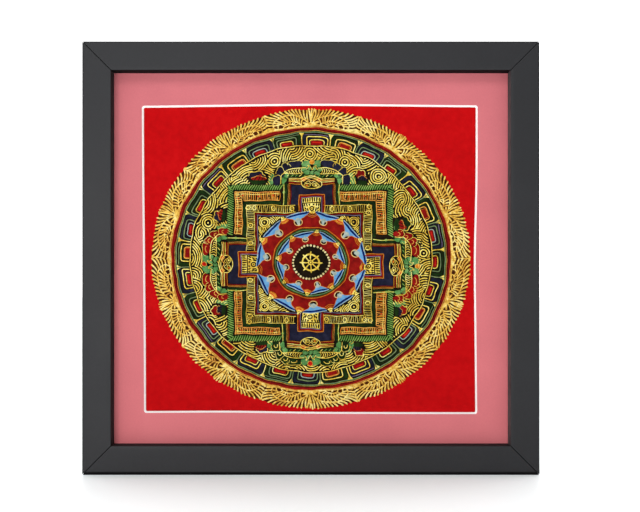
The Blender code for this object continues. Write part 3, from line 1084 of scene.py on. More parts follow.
# L-shaped walls of amber bricks at the four corners
for side, offset in zip(SIDES, OFFSETS):
    b0, b1 = BRICK[0] + offset, BRICK[1]
    for sign in (-1, 1):
        start, end = sorted((sign * (b1 - 0.2), sign * 18.6))
        reach = sorted((sign * (b0 - 0.3), sign * 18.8))
        n = int((end - start) / 1.12)
        for k in range(n + 1):
            u = start + (end - start) * k / n
            low = max(b0 + 0.2, abs(u)) if abs(u) > b0 else b0 + 0.2
            if b1 - low < 1.0:
                continue
            t = np.linspace(0, 1, 5)
            foot = low + 0.7 * rng.random()
            line = np.stack(
                [
                    u + jitter(0.12) + 0.16 * np.sin(4 * t + k),
                    foot + (b1 - 0.4 - foot - 0.5 * rng.random()) * t,
                ],
                axis=1,
            )
            corner = abs(u) > 36.0
            film = orange if k % 5 in (1, 4) and not corner else amber
            film.stroke(side(line), 0.47 + jitter(0.1), LOW + 0.01, 0.08)
            if k % 5 == 3:
                ground.dot(side(np.array([[u, low + 1.2 + 1.5 * rng.random()]]))[0], 0.5, TOP, 0.03)
            if k % 8 == 4:
                scarlet.dot(side(np.array([[u + 0.5, (low + b1) / 2]]))[0], 0.6, TOP, 0.04)
        amber.stroke(side(along((start, b1 - 0.25), (end, b1 - 0.25))), 0.5, LOW + 0.01, 0.09)
        amber.stroke(side(along((reach[0], b0 + 0.2), (reach[1], b0 + 0.2))), 0.45, LOW + 0.01, 0.08)
        gold_line.stroke(side(along((start, b1 - 1.6), (end, b1 - 1.5))), 0.34, HIGH, 0.07)
for side in COURT_SIDES:
    for sign in (-1, 1):
        left, right = sorted((sign * 40.5, sign * 17.0))
        dark_green.block(side, (left, HALL[1] + 0.45), (right, 40.5), LOW + 0.01, 5.0)

# the hall: a band of gold posts between two gold lines
for side in COURT_SIDES:
    low, high = HALL
    for sign in (-1, 1):
        start, end = sorted((sign * 8.6, sign * high))
        n = int((end - start) / 1.1)
        for k in range(1, n):
            u = start + (end - start) * k / n
            foot = max(low + 0.5, abs(u) if abs(u) > low else 0.0)
            if high - foot < 1.3:
                continue
            t = np.linspace(0, 1, 6)
            word = (k // 6) % 4
            bend = (
                0.1 * np.sin(t * 5 + k),
                0.4 * (t - 0.5) * (1 if k % 2 else -1),
                0.25 * np.sin(t * 3.1),
                0.0 * t,
            )[word]
            points = np.stack([u + jitter(0.08) + bend, foot + (high - 0.5 - foot) * t], axis=1)
            gold_line.stroke(side(points), 0.28 + jitter(0.1), LOW, 0.09)
            if k % 10 == 4:
                gold_line.stroke(
                    side(oval((u + 0.5, (foot + high) / 2), 1.15, 1.4)), 0.5, LOW + 0.03, 0.11, closed=True
                )
                ground.dot(side(np.array([[u + 0.5, (foot + high) / 2]]))[0], 0.75, HIGH + 0.02, 0.02)
                gold_line.dot(side(np.array([[u + 0.5, (foot + high) / 2]]))[0], 0.34, TOP, 0.08)
        gold_line.stroke(side(along((start, high - 0.2), (end, high - 0.2))), 0.34, LOW, 0.09)
        inner_end = sorted((sign * 8.6, sign * low))
        gold_line.stroke(
            side(along((inner_end[0], low + 0.15), (inner_end[1], low + 0.15))), 0.38, LOW, 0.09
        )

# the inner court's lines
for half, film, width in ((INNER_RED, red, 0.62), (INNER_PLUM, plum, 0.5)):
    corners = [(-half, -half), (half, -half), (half, half), (-half, half)]
    film.stroke(COURT(path(corners, 1.0, closed=True)), width, LOW, 0.03, closed=True)

# gold scrolls on black in the court's corners
court, court_eyes = [], []
for sx in (-1, 1):
    for sz in (-1, 1):
        court.append(COURT.flat(np.array([(sx * 27.2, sz * 27.2)]))[0])
        court_eyes.append(True)
        for u, v in ((21.0, 28.6), (28.6, 21.0), (16.0, 30.2), (30.2, 16.0)):
            court.append(COURT.flat(np.array([(sx * u, sz * v)]))[0])
            court_eyes.append(False)


def in_court(p):
    q = np.abs(COURT.back(p))
    r = np.linalg.norm(LOTUS.back(p), axis=1)
    return (q.max(axis=1) < 30.7) & (r > 34.6)


swirls(gold_line, court, court_eyes, in_court, 0.98, 0.6, 0.12)

# ----------------------------------------------------------------- the four gates
CLOUD_PAINTS = (navy, red, dark_green, red)
GATE_SHIFTS = (0.4, 2.0, 0.3, -0.8)


def at(side, u, v):
    return side(np.array([[u, v]]))[0]


for index, turn in enumerate(GATE_TURNS):
    shift, a = GATE_SHIFTS[index], math.radians(turn)
    side = Zone(shift * math.cos(a), 127.2 - 0.944 * shift * math.sin(a), 1.0, 0.944, turn)
    clouds = CLOUD_PAINTS[index]
    inner = HALL[1] + OFFSETS[index]
    # the body, with its red and gold posts
    ground.block(side, (-18.3, inner + 0.1), (18.3, GATE_TOP + 0.4), LOW + 0.012, 4.0)
    navy.block(side, (-GATE_HALF, inner + 0.3), (GATE_HALF, GATE_TOP - 0.2), MIDDLE, 4.0)
    for sign in (-1, 1):
        u = sign * (GATE_HALF + 0.45)
        red.stroke(side(along((u, inner + 0.3), (u, GATE_TOP))), 0.36, MIDDLE, 0.05)
        u = sign * (GATE_HALF + 1.15)
        orange.stroke(side(along((u, inner + 0.3), (u, GATE_TOP))), 0.27, MIDDLE, 0.07)
        u = sign * (GATE_HALF + 1.85)
        amber.stroke(side(along((u, inner + 0.3), (u, GATE_TOP))), 0.2, MIDDLE, 0.05)
        left, right = sorted((sign * 14.9, sign * 16.4))
        dark_green.block(side, (left, inner + 0.6), (right, GATE_TOP + 0.6), MIDDLE, 4.0)
        u = sign * 16.9
        leaf_green.stroke(side(along((u, inner + 0.3), (u, GATE_TOP + 1.2))), 0.6, MIDDLE, 0.08)
        gold_line.stroke(side(along((u, inner + 0.5), (u, GATE_TOP))), 0.3, MIDDLE + 0.05, 0.08)
        leaf_green.dot(at(side, u, 45.6), 0.8, MIDDLE, 0.1)
    # the doorway inside it
    door = 7.9
    ground.block(side, (-door, 31.0), (door, 44.2), HIGH, 4.0)
    for inset, film, width, rise in (
        (0.0, orange, 0.5, 0.08),
        (0.85, red, 0.9, 0.05),
        (1.65, plum, 0.55, 0.05),
    ):
        outline = [(-door + inset, 33.4 - inset), (-door + inset, 44.2 - inset), (door - inset, 44.2 - inset), (door - inset, 33.4 - inset)]
        film.stroke(side(path(outline)), width, HIGH, rise)
    # a crowned gold mask
    gold_line.shape(
        side,
        closed_curve(
            path([(-5.7, 42.1), (5.7, 42.1), (5.5, 38.9), (5.0, 37.2), (4.9, 32.4), (-4.9, 32.4), (-5.0, 37.2), (-5.5, 38.9)], 1.6, closed=True),
            0.8,
        ),
        HIGH + 0.01,
    )
    mark = HIGH + 0.035
    for k in range(8):
        u = -4.9 + 9.8 * k / 7
        ground.stroke(
            side(along((u, 39.4 + jitter(0.2)), (u * 1.02, 41.6 + jitter(0.2)))), 0.86, mark, 0.02, taper=(0.6, 1.0)
        )
    ground.stroke(side(along((-5.4, 38.7), (5.4, 38.7))), 0.66, mark, 0.02)
    for sign in (-1, 1):
        for u, v, tip_u, tip_v in ((4.7, 38.2, 4.2, 36.6), (3.3, 38.2, 2.8, 36.6), (4.3, 35.9, 3.6, 34.6), (4.2, 33.8, 3.2, 33.0), (2.9, 35.4, 2.4, 33.4)):
            ground.stroke(side(along((sign * u, v), (sign * tip_u, tip_v))), 0.95, mark, 0.02, taper=(0.6, 0.6))
        ground.dot(at(side, sign * 1.35, 37.5), 0.62, mark, 0.02)
    ground.stroke(side(oval((0.0, 35.0), 1.3, 1.3)), 0.74, mark, 0.02, closed=True)
    ground.dot(at(side, 0.0, 35.0), 0.42, mark, 0.03)
    # the lintel: amber rails with a gold knot between them
    ground.block(side, (-14.5, GATE_TOP - 0.2), (14.5, 55.3), MIDDLE, 4.0)
    for sign in (-1, 1):
        left, right = sorted((sign * 14.0, sign * 5.6))
        orange.stroke(side(along((left, 50.9), (right, 50.9))), 0.32, HIGH, 0.08)
        scarlet.stroke(side(along((left, 51.7), (right, 51.7))), 0.22, HIGH, 0.04)
        gold_line.stroke(side(along((left, 52.6), (right, 52.6))), 0.4, HIGH, 0.08)
        amber.stroke(side(along((left, 53.6), (right, 53.6))), 0.42, HIGH, 0.08)
        gold_line.stroke(side(along((left, 54.5), (right, 54.5))), 0.36, HIGH, 0.08)
        gold_line.stroke(
            side(smooth_path([(sign * 6.4, 54.4), (sign * 3.6, 55.5), (0.0, 56.0)])), 0.55, TOP, 0.1
        )
        scarlet.shape(side, oval((sign * 4.4, 54.1), 1.3, 0.6, 24.0 * sign), TOP)
        amber.stroke(side(oval((sign * 4.4, 54.1), 1.5, 0.8, 24.0 * sign)), 0.3, TOP, 0.06, closed=True)
    ground.shape(side, oval((0.0, 51.6), 6.4, 3.8), HIGH + 0.01)
    gold_line.stroke(side(oval((0.0, 51.5), 6.0, 3.4, 0.0, 28)), 0.44, TOP, 0.1, closed=True)
    amber.stroke(side(smooth_path([(-4.6, 52.6), (-2.4, 54.0), (0.0, 53.1), (2.4, 54.0), (4.6, 52.6)])), 0.4, TOP, 0.09)
    gold_line.stroke(side(smooth_path([(-3.6, 51.6), (-1.6, 52.9), (0.0, 51.2), (1.6, 52.9), (3.6, 51.6)])), 0.34, TOP, 0.09)
    for sign in (-1, 1):
        loop = closed_curve(
            [(sign * 0.6, 50.2), (sign * 1.5, 51.3), (sign * 3.4, 51.2), (sign * 4.4, 50.2), (sign * 3.0, 49.2)]
        )
        gold_line.stroke(side(loop), 0.38, TOP, 0.09, closed=True)
        (gold_line if sign > 0 else orange).shape(
            side, oval((sign * 2.6, 50.3), 0.8, 0.45, 16.0 * sign), TOP + 0.01
        )
    # the green eave with its two turned-down ends
    dark_green.block(side, (-15.8, 55.4), (15.8, 57.4), MIDDLE, 4.0)
    for k in range(12):
        u = -15.0 + 30.0 * k / 11
        (leaf_green if k % 3 else gold_line).stroke(
            side(along((u - 0.4, 55.9), (u + 0.8, 57.0))), 0.42, MIDDLE, 0.06
        )
    for sign in (-1, 1):
        for du, dv, across, deep in ((16.2, 56.4, 2.1, 1.8), (17.1, 53.3, 1.5, 2.2)):
            pale_green.shape(side, lobes((sign * du, dv), across, deep, 0.0, 3, du), HIGH)
            dark_green.stroke(side(lobes((sign * du, dv), across, deep, 0.0, 3, du)), 0.3, HIGH, 0.03, closed=True)
        gold_line.stroke(
            side(smooth_path([(sign * 14.2, 57.7), (sign * 16.8, 58.2), (sign * 18.9, 56.4), (sign * 18.9, 51.4)])),
            0.4,
            TOP,
            0.08,
        )
    # the row of gold leaves over the eave
    ground.block(side, (-17.8, 57.6), (17.8, 60.9), MIDDLE, 4.0)
    for sign in (-1, 1):
        gold_line.stroke(
            side(smooth_path([(sign * 3.6, 61.3), (sign * 9.0, 61.4), (sign * 14.2, 60.4), (sign * 17.9, 57.8)])),
            0.5,
            HIGH,
            0.09,
        )
        gold_line.stroke(side(along((sign * 5.0, 57.8), (sign * 16.6, 57.8))), 0.4, MIDDLE, 0.08)
        for k in range(8):
            u = sign * (6.0 + 1.5 * k)
            top = 61.0 - 0.022 * (abs(u) - 5.0) ** 2
            t = np.linspace(0, 1, 5)
            gold_line.stroke(
                side(np.stack([u + sign * (0.8 * np.sin(3.0 * t) - 0.3), 58.0 + (top - 58.0) * t], axis=1)),
                np.interp(t, [0, 0.5, 1], [0.34, 0.5, 0.38]),
                MIDDLE,
                0.1,
            )
    # the chain of clouds over the roof
    for sign in (-1, 1):
        ground.shape(
            side,
            closed_curve(
                [
                    (sign * 4.0, 61.6), (sign * 5.2, 66.3), (sign * 12.5, 66.2), (sign * 17.4, 64.2),
                    (sign * 21.4, 60.4), (sign * 23.2, 54.6), (sign * 22.2, 50.8), (sign * 19.4, 50.8),
                    (sign * 18.9, 56.4), (sign * 14.6, 60.9), (sign * 9.4, 61.7),
                ],
                1.2,
            ),
            MIDDLE + 0.005,
        )
        for k, (u, v, across, deep) in enumerate(CHAIN):
            outline = lobes((sign * u, v), across, deep, sign * (4, 14, 10, 4)[k], 3, 0.6 + k, 32)
            clouds.shape(side, outline, HIGH)
            gold_line.stroke(
                side(lobes((sign * u, v), across + 0.3, deep + 0.3, sign * (4, 14, 10, 4)[k], 3, 0.6 + k, 32)[0:17]),
                0.28,
                HIGH,
                0.09,
            )
            if index in (1, 3):
                amber.stroke(
                    side(oval((sign * (u - 0.3), v - 0.4), across * 0.5, deep * 0.4)[0:10]), 0.36, TOP, 0.06
                )
            if index == 2:
                gold_line.stroke(
                    side(oval((sign * u, v - 0.2), across * 0.45, deep * 0.45)[0:11]), 0.4, TOP, 0.08
                )
        for du, dv, across, deep in ((24.9, 52.9, 1.5, 2.2), (23.9, 56.6, 1.0, 1.5)):
            pale_green.shape(side, lobes((sign * du, dv), across, deep, sign * 12.0, 3, dv), HIGH)
            ground.stroke(
                side(along((sign * (du - 0.3), dv - 0.7 * deep), (sign * (du + 0.3), dv + 0.7 * deep))), 0.3, HIGH, 0.03
            )
    # the crowning ornament: green leaves round a small jewel
    ground.shape(side, oval((0.0, 61.4), 6.7, 5.2), HIGH - 0.01)
    for k, (u, v, across, deep) in enumerate(
        (
            (-3.3, 64.0, 2.5, 2.4),
            (3.3, 64.0, 2.5, 2.4),
            (-4.7, 60.6, 1.8, 1.7),
            (4.7, 60.6, 1.8, 1.7),
            (-3.0, 58.2, 2.0, 1.4),
            (3.0, 58.2, 2.0, 1.4),
            (0.0, 58.2, 1.3, 1.4),
            (-1.5, 61.0, 1.2, 1.3),
            (1.5, 61.0, 1.2, 1.3),
        )
    ):
        pale_green.shape(side, lobes((u, v), across, deep, 0.0, 3, u), HIGH + 0.01)
        ground.stroke(side(lobes((u, v), across, deep, 0.0, 3, u)), 0.34, HIGH + 0.01, 0.03, closed=True)
        sage.stroke(side(along((u - 0.5 * across, v), (u + 0.5 * across, v + 0.3))), 0.3, TOP, 0.04)
    gold_line.stroke(
        side(smooth_path([(-3.2, 60.2), (-1.5, 62.4), (0.0, 60.0), (1.5, 62.4), (3.2, 60.2)])), 0.36, TOP, 0.1
    )
    for sign in (-1, 1):
        gold_line.dot(at(side, sign * 2.3, 62.7), 0.4, TOP, 0.1)
    (orange if index in (0, 1) else scarlet).shape(side, oval((0.1, 65.2), 1.3, 1.4), TOP)
    amber.stroke(side(oval((0.1, 65.2), 1.4, 1.5)), 0.34, TOP, 0.07, closed=True)


# ----------------------------------------------------------------- the flower circles
def lotus(joints, radius, size, half, twins):
    """A ring of petals between joints (degrees): each a blue lens with a strong blue vein,
    drawn in to a pale stem that ends in a round black hollow, on red, with amber at each
    joint."""
    for k, (first, second) in enumerate(zip(joints, joints[1:])):
        start, end = polar(first, radius), polar(second, radius)
        middle = (start + end) / 2
        e = (end - start) / np.linalg.norm(end - start)
        n = np.array([e[1], -e[0]])
        n = -n if n @ middle > 0 else n

        def spot(s, d):
            s, d = np.broadcast_arrays(np.asarray(s, float), np.asarray(d, float))
            return middle + s[..., None] * e + d[..., None] * n

        twin = twins(k)
        lean = (0.5 if k % 2 else -0.6) * size  # no stem stands quite in the middle
        # the hollow and its cream rim
        well = (lean, 5.2 * size)
        ground.shape(LOTUS, spot(*oval(well, 2.2 * size, 2.1 * size).T), HIGH)
        b = np.radians(np.linspace(-132, 132, 24))
        rim = spot(well[0] + 2.3 * size * np.sin(b), well[1] + 2.15 * size * np.cos(b))
        orange.stroke(LOTUS(rim), 0.66 * size, HIGH, 0.06)
        bead.stroke(LOTUS(rim), 0.3 * size, HIGH + 0.05, 0.05)
        # the lens, and the funnel down to its stem
        x = np.linspace(-1, 1, 21)
        outside = -0.25 - 0.55 * size * (1 - x**2)
        edge = np.array([(half, 0.0), (half * 0.9, 0.75), (half * 0.74, 1.35), (half * 0.56, 1.95), (half * 0.42, 2.7)])
        edge[:, 1] *= size
        neck = np.array([(2.25, 3.4), (1.85, 4.2), (0.95, 4.9)]) * size
        right = smooth_path(np.concatenate([edge, neck + [lean, 0.0]]), 0.5)
        left = smooth_path(np.concatenate([edge, neck - [lean, 0.0]]) * [-1.0, 1.0], 0.5)
        tip = spot(lean, 5.4 * size)[None]
        lens = np.concatenate([spot(half * x, outside), spot(*right[1:].T), tip, spot(*left[:0:-1].T)])
        sky.shape(LOTUS, lens, HIGH + 0.012)
        mist.stroke(LOTUS(spot(half * x, outside - 0.05)), 0.34 * size + 0.08, HIGH, 0.07)
        for line in (right, left):
            orange.stroke(LOTUS(spot(line[2:-2, 0] * 1.03, line[2:-2, 1] + 0.2)), 0.34, HIGH + 0.006, 0.07)
        # the pale stem
        foot = 7.2 if twin else 5.9
        stem = closed_curve(
            np.array([(0.0, 2.5), (1.3, 3.3), (1.6, 4.3), (0.85, 5.3), (0.8, foot - 0.7), (0.0, foot), (-0.8, foot - 0.7), (-0.85, 5.3), (-1.6, 4.3), (-1.3, 3.3)]) * size,
            0.5,
        )
        mist.shape(LOTUS, spot(stem[:, 0] + lean, stem[:, 1]), HIGH + 0.022)
        if not twin:
            side_way = 1 if k % 2 else -1
            mist.stroke(
                LOTUS(spot(lean + side_way * np.array([0.9, 1.7, 1.9]) * size, np.array([5.5, 5.6, 4.9]) * size)),
                0.4 * size, HIGH + 0.012, 0.06,
            )
        # the vein
        v = np.linspace(-0.97, 0.97, 17)
        blue.stroke(
            LOTUS(spot(half * v, 0.3 + 0.12 * size * v**2)),
            (size * 1.02 + 0.06) * (1 - np.abs(v) ** 4) ** 0.6 + 0.12,
            HIGH + 0.035,
            0.03,
        )
        # amber at the joint of two petals
        node = polar(second, radius)
        inward = -node / np.linalg.norm(node)
        across = np.array([inward[1], -inward[0]])

        def corner(points):
            q = np.array(points, float)
            return node + q[:, :1] * size * across + q[:, 1:] * size * inward

        if k % 3 != 1:
            amber.shape(LOTUS, corner([(-1.5, 1.2), (1.5, 1.2), (2.7, 2.3), (1.6, 3.0), (0.0, 3.3), (-1.6, 3.0), (-2.7, 2.3)]), HIGH)
            for deep, wide in ((2.9, 2.3), (3.7, 2.5)):
                orange.stroke(
                    LOTUS(corner(smooth_path([(-wide, deep - 0.7), (0.0, deep), (wide, deep - 0.7)]))), 0.5 * size, HIGH, 0.05
                )
            scarlet.stroke(LOTUS(corner(smooth_path([(-1.7, 2.1), (0.0, 2.5), (1.7, 2.1)]))), 0.5 * size, HIGH + 0.01, 0.04)
        else:
            for deep, wide in ((2.0, 1.7), (2.9, 2.4), (3.9, 2.8)):
                orange.stroke(
                    LOTUS(corner(smooth_path([(-wide, deep - 0.8), (0.0, deep), (wide, deep - 0.8)]))), 0.36 * size, HIGH, 0.06
                )
        gold_line.shape(
            LOTUS, corner([(-0.9, -1.0), (0.9, -1.0), (1.0, 0.2), (2.0, 1.4), (0.9, 1.5), (-0.9, 1.5), (-2.0, 1.4), (-1.0, 0.2)]), HIGH + 0.012
        )
        ground.stroke(LOTUS(corner([(-0.8, 0.5), (0.0, 0.9), (0.8, 0.5)])), 0.34, HIGH + 0.04, 0.02)
        ground.stroke(LOTUS(corner([(0.0, -0.8), (0.1, -0.2)])), 0.3, HIGH + 0.04, 0.02)


def spaced(count, start, drift):
    """Angles spaced by eye: nearly even, with a slow drift round the circle."""
    a = start + np.arange(count + 1) * 360 / count
    return a + drift * (np.cos(np.radians(a + 30)) - math.cos(math.radians(start + 30)))


BIG_RADIUS, SMALL_RADIUS = 33.9, 21.1
red.ring(LOTUS, 23.4, BIG_RADIUS - 1.9, MIDDLE, 140, 4)
circle(orange, LOTUS, 23.35, 0.5, LOW, 0.09)
circle(red, LOTUS, 22.75, 0.4, LOW, 0.03)
dark_green.ring(LOTUS, 20.7, 22.5, MIDDLE - 0.01, 120)
circle(green, LOTUS, 22.0, 0.6, MIDDLE, 0.04)
circle(sage, LOTUS, 21.6, 0.34, MIDDLE)
red.ring(LOTUS, 11.5, SMALL_RADIUS - 1.4, MIDDLE + 0.005, 120, 3)
lotus(spaced(11, 1.5, 3.2), BIG_RADIUS, 1.0, 7.3, lambda k: k in (0, 1, 7, 9, 10))
lotus(spaced(8, 9.0, 1.5), SMALL_RADIUS, 0.8, 5.9, lambda k: k in (1, 2, 3, 6))
ground.patch(
    lambda a, r: LOTUS(polar(a, r)),
    np.arange(72) * 5.0,
    np.array([0.2, 5.0, 11.7]),
    HIGH,
    edge_v=0.06,
)
for k in range(35):
    a = k * 360 / 35 + jitter(0.6)
    bead.dot(LOTUS(polar(a, 10.95 + jitter(0.08)))[0], 0.7 + jitter(0.05), HIGH, 0.22, 10)

# a plain eight-spoked wheel in the middle
circle(gold_line, LOTUS, 5.2, 1.05, HIGH, 0.14)
circle(gold_line, LOTUS, 1.5, 0.75, HIGH, 0.14)
gold_line.dot(LOTUS(np.array([[0.0, 0.0]]))[0], 0.65, HIGH, 0.18)
for k in range(8):
    a = k * 45.0
    r = np.linspace(1.5, 5.2, 6)
    gold_line.stroke(LOTUS(polar(np.full(6, a), r)), np.linspace(0.6, 0.85, 6), HIGH, 0.13)
    gold_line.stroke(
        LOTUS(polar(np.array([a, a, a]), np.array([5.4, 6.2, 6.9]))),
        np.array([1.1, 0.9, 0.45]),
        HIGH,
        0.13,
    )

painted = [film.object() for film in FILMS]


# ================================================================= the cloth itself
def build_cloth():
    """The primed sheet: a closed skin with its faint waves, its face painted red."""
    nx, nz = 111, 103
    xs = np.linspace(CLOTH_LOW[0], CLOTH_HIGH[0], nx)
    zs = np.linspace(CLOTH_LOW[2], CLOTH_HIGH[2], nz)
    x, z = np.meshgrid(xs, zs, indexing="ij")
    x, z = x.ravel(), z.ravel()
    front = np.column_stack([x, cloth_depth(x, z), z])
    back = front + np.array([0.0, CLOTH_SKIN, 0.0])
    verts = np.concatenate([front, back])
    n = nx * nz
    i, j = (v.ravel() for v in np.meshgrid(np.arange(nx - 1), np.arange(nz - 1), indexing="ij"))
    a = i * nz + j
    faces = np.stack([a, a + nz, a + nz + 1, a + 1], axis=1).tolist()
    faces += (np.stack([a + 1, a + nz + 1, a + nz, a], axis=1) + n).tolist()
    rim = (
        [k * nz for k in range(nx)]
        + [(nx - 1) * nz + k for k in range(1, nz)]
        + [k * nz + nz - 1 for k in range(nx - 2, -1, -1)]
        + [k for k in range(nz - 2, 0, -1)]
    )
    for k, l in zip(rim, rim[1:] + rim[:1]):
        faces.append([k, k + n, l + n, l])
    mesh = mesh_from("painted_cloth", verts, faces)
    body = bmesh.new()
    body.from_mesh(mesh)
    bmesh.ops.recalc_face_normals(body, faces=body.faces)
    body.to_mesh(mesh)
    body.free()
    made = show("painted_cloth", mesh, [RED_GROUND])
    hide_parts("thangka_cloth")
    return made


cloth = build_cloth()

# ================================================================= the mat
MAT_LOW, MAT_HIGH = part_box("mat_board")
CENTRE_Z = (MAT_LOW[2] + MAT_HIGH[2]) / 2
WINDOW_LEFT = 0.10215
WINDOW_RIGHT = 0.10095
WINDOW_TOP = 0.09355
WINDOW_BOTTOM = 0.0943
WINDOW_RADIUS = 0.0014
MAT_BEVEL = 0.00092
WANDER_MM = {
    #          start  1/4   half   3/4    end
    "top": (-0.75, -0.10, 0.45, 0.05, -0.50),
    "right": (0.45, 0.30, -0.70, -0.30, 0.15),
    "bottom": (-0.30, -0.50, 0.15, 0.35, 0.40),
    "left": (0.70, 0.45, 0.00, -0.40, -0.60),
}
SIDE_STEPS = 60
CORNER_STEPS = 6


def wander(side, share):
    """How far the hand-cut edge strays outwards from its nominal line."""
    values = [value / 1000 for value in WANDER_MM[side]]
    at = min(max(share, 0.0), 1.0) * (len(values) - 1)
    index = min(int(at), len(values) - 2)
    t = at - index
    before = values[max(index - 1, 0)]
    here, after = values[index], values[index + 1]
    beyond = values[min(index + 2, len(values) - 1)]
    return 0.5 * (
        2 * here
        + (after - before) * t
        + (2 * before - 5 * here + 4 * after - beyond) * t * t
        + (3 * here - before - 3 * after + beyond) * t * t * t
    )


def window_outline(inset):
    """The window's outline, drawn in by an inset, anticlockwise from its bottom left corner."""
    left = -WINDOW_LEFT + inset
    right = WINDOW_RIGHT - inset
    bottom = CENTRE_Z - WINDOW_BOTTOM + inset
    top = CENTRE_Z + WINDOW_TOP - inset
    radius = max(WINDOW_RADIUS - inset * 0.6, 0.0004)

    def bottom_z(x):
        return bottom - wander("bottom", (x - left) / (right - left))

    def top_z(x):
        return top + wander("top", (x - left) / (right - left))

    def left_x(z):
        return left - wander("left", (top - z) / (top - bottom))

    def right_x(z):
        return right + wander("right", (top - z) / (top - bottom))

    low_left = (left_x(bottom) + radius, bottom_z(left) + radius)
    low_right = (right_x(bottom) - radius, bottom_z(right) + radius)
    top_right = (right_x(top) - radius, top_z(right) - radius)
    top_left = (left_x(top) + radius, top_z(left) - radius)
    shares = [k / SIDE_STEPS for k in range(SIDE_STEPS + 1)]

    def corner(x, z, start):
        found = []
        for step in range(1, CORNER_STEPS):
            a = math.radians(start + 90 * step / CORNER_STEPS)
            found.append((x + radius * math.cos(a), z + radius * math.sin(a)))
        return found

    points = []
    for t in shares:
        x = low_left[0] + (low_right[0] - low_left[0]) * t
        points.append((x, bottom_z(x)))
    points += corner(*low_right, -90)
    for t in shares:
        z = low_right[1] + (top_right[1] - low_right[1]) * t
        points.append((right_x(z), z))
    points += corner(*top_right, 0)
    for t in shares:
        x = top_right[0] + (top_left[0] - top_right[0]) * t
        points.append((x, top_z(x)))
    points += corner(*top_left, 90)
    for t in shares:
        z = top_left[1] + (low_left[1] - top_left[1]) * t
        points.append((left_x(z), z))
    points += corner(*low_left, 180)
    return np.array(points)


def build_mat():
    """A mat board: a pink paper face rolled very slightly over the cut, a white core that the
    sloping cut lays bare, and a white back. Its pink is painted lighter towards its foot, as painted light."""
    pink = new_material("pink_mat_paper", 0.93, 0.0, 0.2)
    point = object_point(pink)
    fibre = noise(pink, point, 900.0, 5.0, 0.7)
    cloudy = noise(pink, point, 28.0, 3.0, 0.5)
    value = blend_values(pink, fibre, 0.45, cloudy)
    nodes, links = nodes_of(pink)
    # Painted light: the pink is made lighter towards the board's foot, from Z 0.235 m down to Z 0.02 m.
    split = nodes.new("ShaderNodeSeparateXYZ")
    links.new(point, split.inputs["Vector"])
    painted_light_to_foot = nodes.new("ShaderNodeMapRange")
    painted_light_to_foot.inputs["From Min"].default_value = 0.235
    painted_light_to_foot.inputs["From Max"].default_value = 0.02
    painted_light_to_foot.inputs["To Max"].default_value = 0.3
    links.new(split.outputs["Z"], painted_light_to_foot.inputs["Value"])
    value = maths(pink, "ADD", value, painted_light_to_foot.outputs["Result"])
    colour_of(
        pink,
        ramp(
            pink,
            value,
            [(0.35, shown(212, 115, 122)), (0.5, shown(219, 120, 127)), (0.8, shown(232, 127, 133)), (0.95, shown(236, 131, 137))],
        ),
    )
    bump(pink, fibre, 0.25, 0.00006)
    core = new_material("white_mat_core", 0.9, 0.0, 0.2)
    point = object_point(core)
    pulp = noise(core, point, 1500.0, 4.0, 0.7)
    colour_of(core, ramp(core, pulp, [(0.3, (0.92, 0.91, 0.89)), (0.7, (0.985, 0.98, 0.96))]))
    bump(core, pulp, 0.3, 0.00005)

    front_y, back_y = MAT_LOW[1], MAT_HIGH[1]
    edge = window_outline(0.0)
    count = len(edge)
    # the same number of points round the board's outer edge, matched to the window's
    outer = []
    half_x, half_z = (MAT_HIGH[0] - MAT_LOW[0]) / 2, (MAT_HIGH[2] - MAT_LOW[2]) / 2
    corners = [
        (-half_x, CENTRE_Z - half_z),
        (half_x, CENTRE_Z - half_z),
        (half_x, CENTRE_Z + half_z),
        (-half_x, CENTRE_Z + half_z),
    ]
    for s in range(4):
        a, b = np.array(corners[s]), np.array(corners[(s + 1) % 4])
        for k in range(SIDE_STEPS + 1):
            t = k / SIDE_STEPS
            outer.append(a + (b - a) * t * 0.999 + (b - a) * 0.0005)
        for step in range(1, CORNER_STEPS):
            outer.append(np.array(corners[(s + 1) % 4]))
    outer = np.array(outer)
    # keep the corner points from lying on one another
    for s in range(4):
        base = s * (SIDE_STEPS + CORNER_STEPS) + SIDE_STEPS + 1
        here, ahead = outer[base - 1], outer[(base + CORNER_STEPS - 1) % count]
        corner = np.array(corners[(s + 1) % 4])
        for step in range(1, CORNER_STEPS):
            t = step / CORNER_STEPS
            outer[base + step - 1] = (
                here * (1 - t) ** 2 + 2 * corner * t * (1 - t) + ahead * t**2
            )
    loops, looks = [], []

    def loop(points, y, look):
        loops.append(np.column_stack([points[:, 0], np.full(len(points), y), points[:, 1]]))
        looks.append(look)

    for share in (0.0, 0.12, 0.35, 0.6, 0.8, 0.93):
        loop(outer + (window_outline(-0.0009) - outer) * share, front_y, 0)
    roll = 0.00016  # the paper's soft edge where the knife went in
    loop(window_outline(-roll * 2.2), front_y, 0)
    loop(window_outline(-roll * 0.9), front_y + roll * 0.10, 0)
    loop(window_outline(-roll * 0.25), front_y + roll * 0.42, 0)
    loop(window_outline(roll * 0.3), front_y + roll * 1.0, 1)
    for share in (0.3, 0.55, 0.8, 1.0):
        y = front_y + (back_y - front_y) * share
        loop(window_outline(MAT_BEVEL * share), y, 1)
    for share in (0.05, 0.5, 1.0):
        loop(window_outline(MAT_BEVEL) + (outer - window_outline(MAT_BEVEL)) * share, back_y, 1)
    verts = np.concatenate(loops)
    faces, slots = [], []
    rows = len(loops)
    for r in range(rows):
        s = (r + 1) % rows
        for i in range(count):
            j = (i + 1) % count
            faces.append((r * count + i, r * count + j, s * count + j, s * count + i))
            slots.append(1 if looks[r] or (s and looks[s]) or s == 0 else 0)
    mesh = mesh_from("mat_with_bevel", verts, faces)
    body = bmesh.new()
    body.from_mesh(mesh)
    bmesh.ops.recalc_face_normals(body, faces=body.faces)
    body.to_mesh(mesh)
    body.free()
    made = show("mat_with_bevel", mesh, [pink, core])
    mesh.polygons.foreach_set("material_index", slots)
    mesh.set_sharp_from_angle(angle=math.radians(40))
    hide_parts("mat_board")
    return made


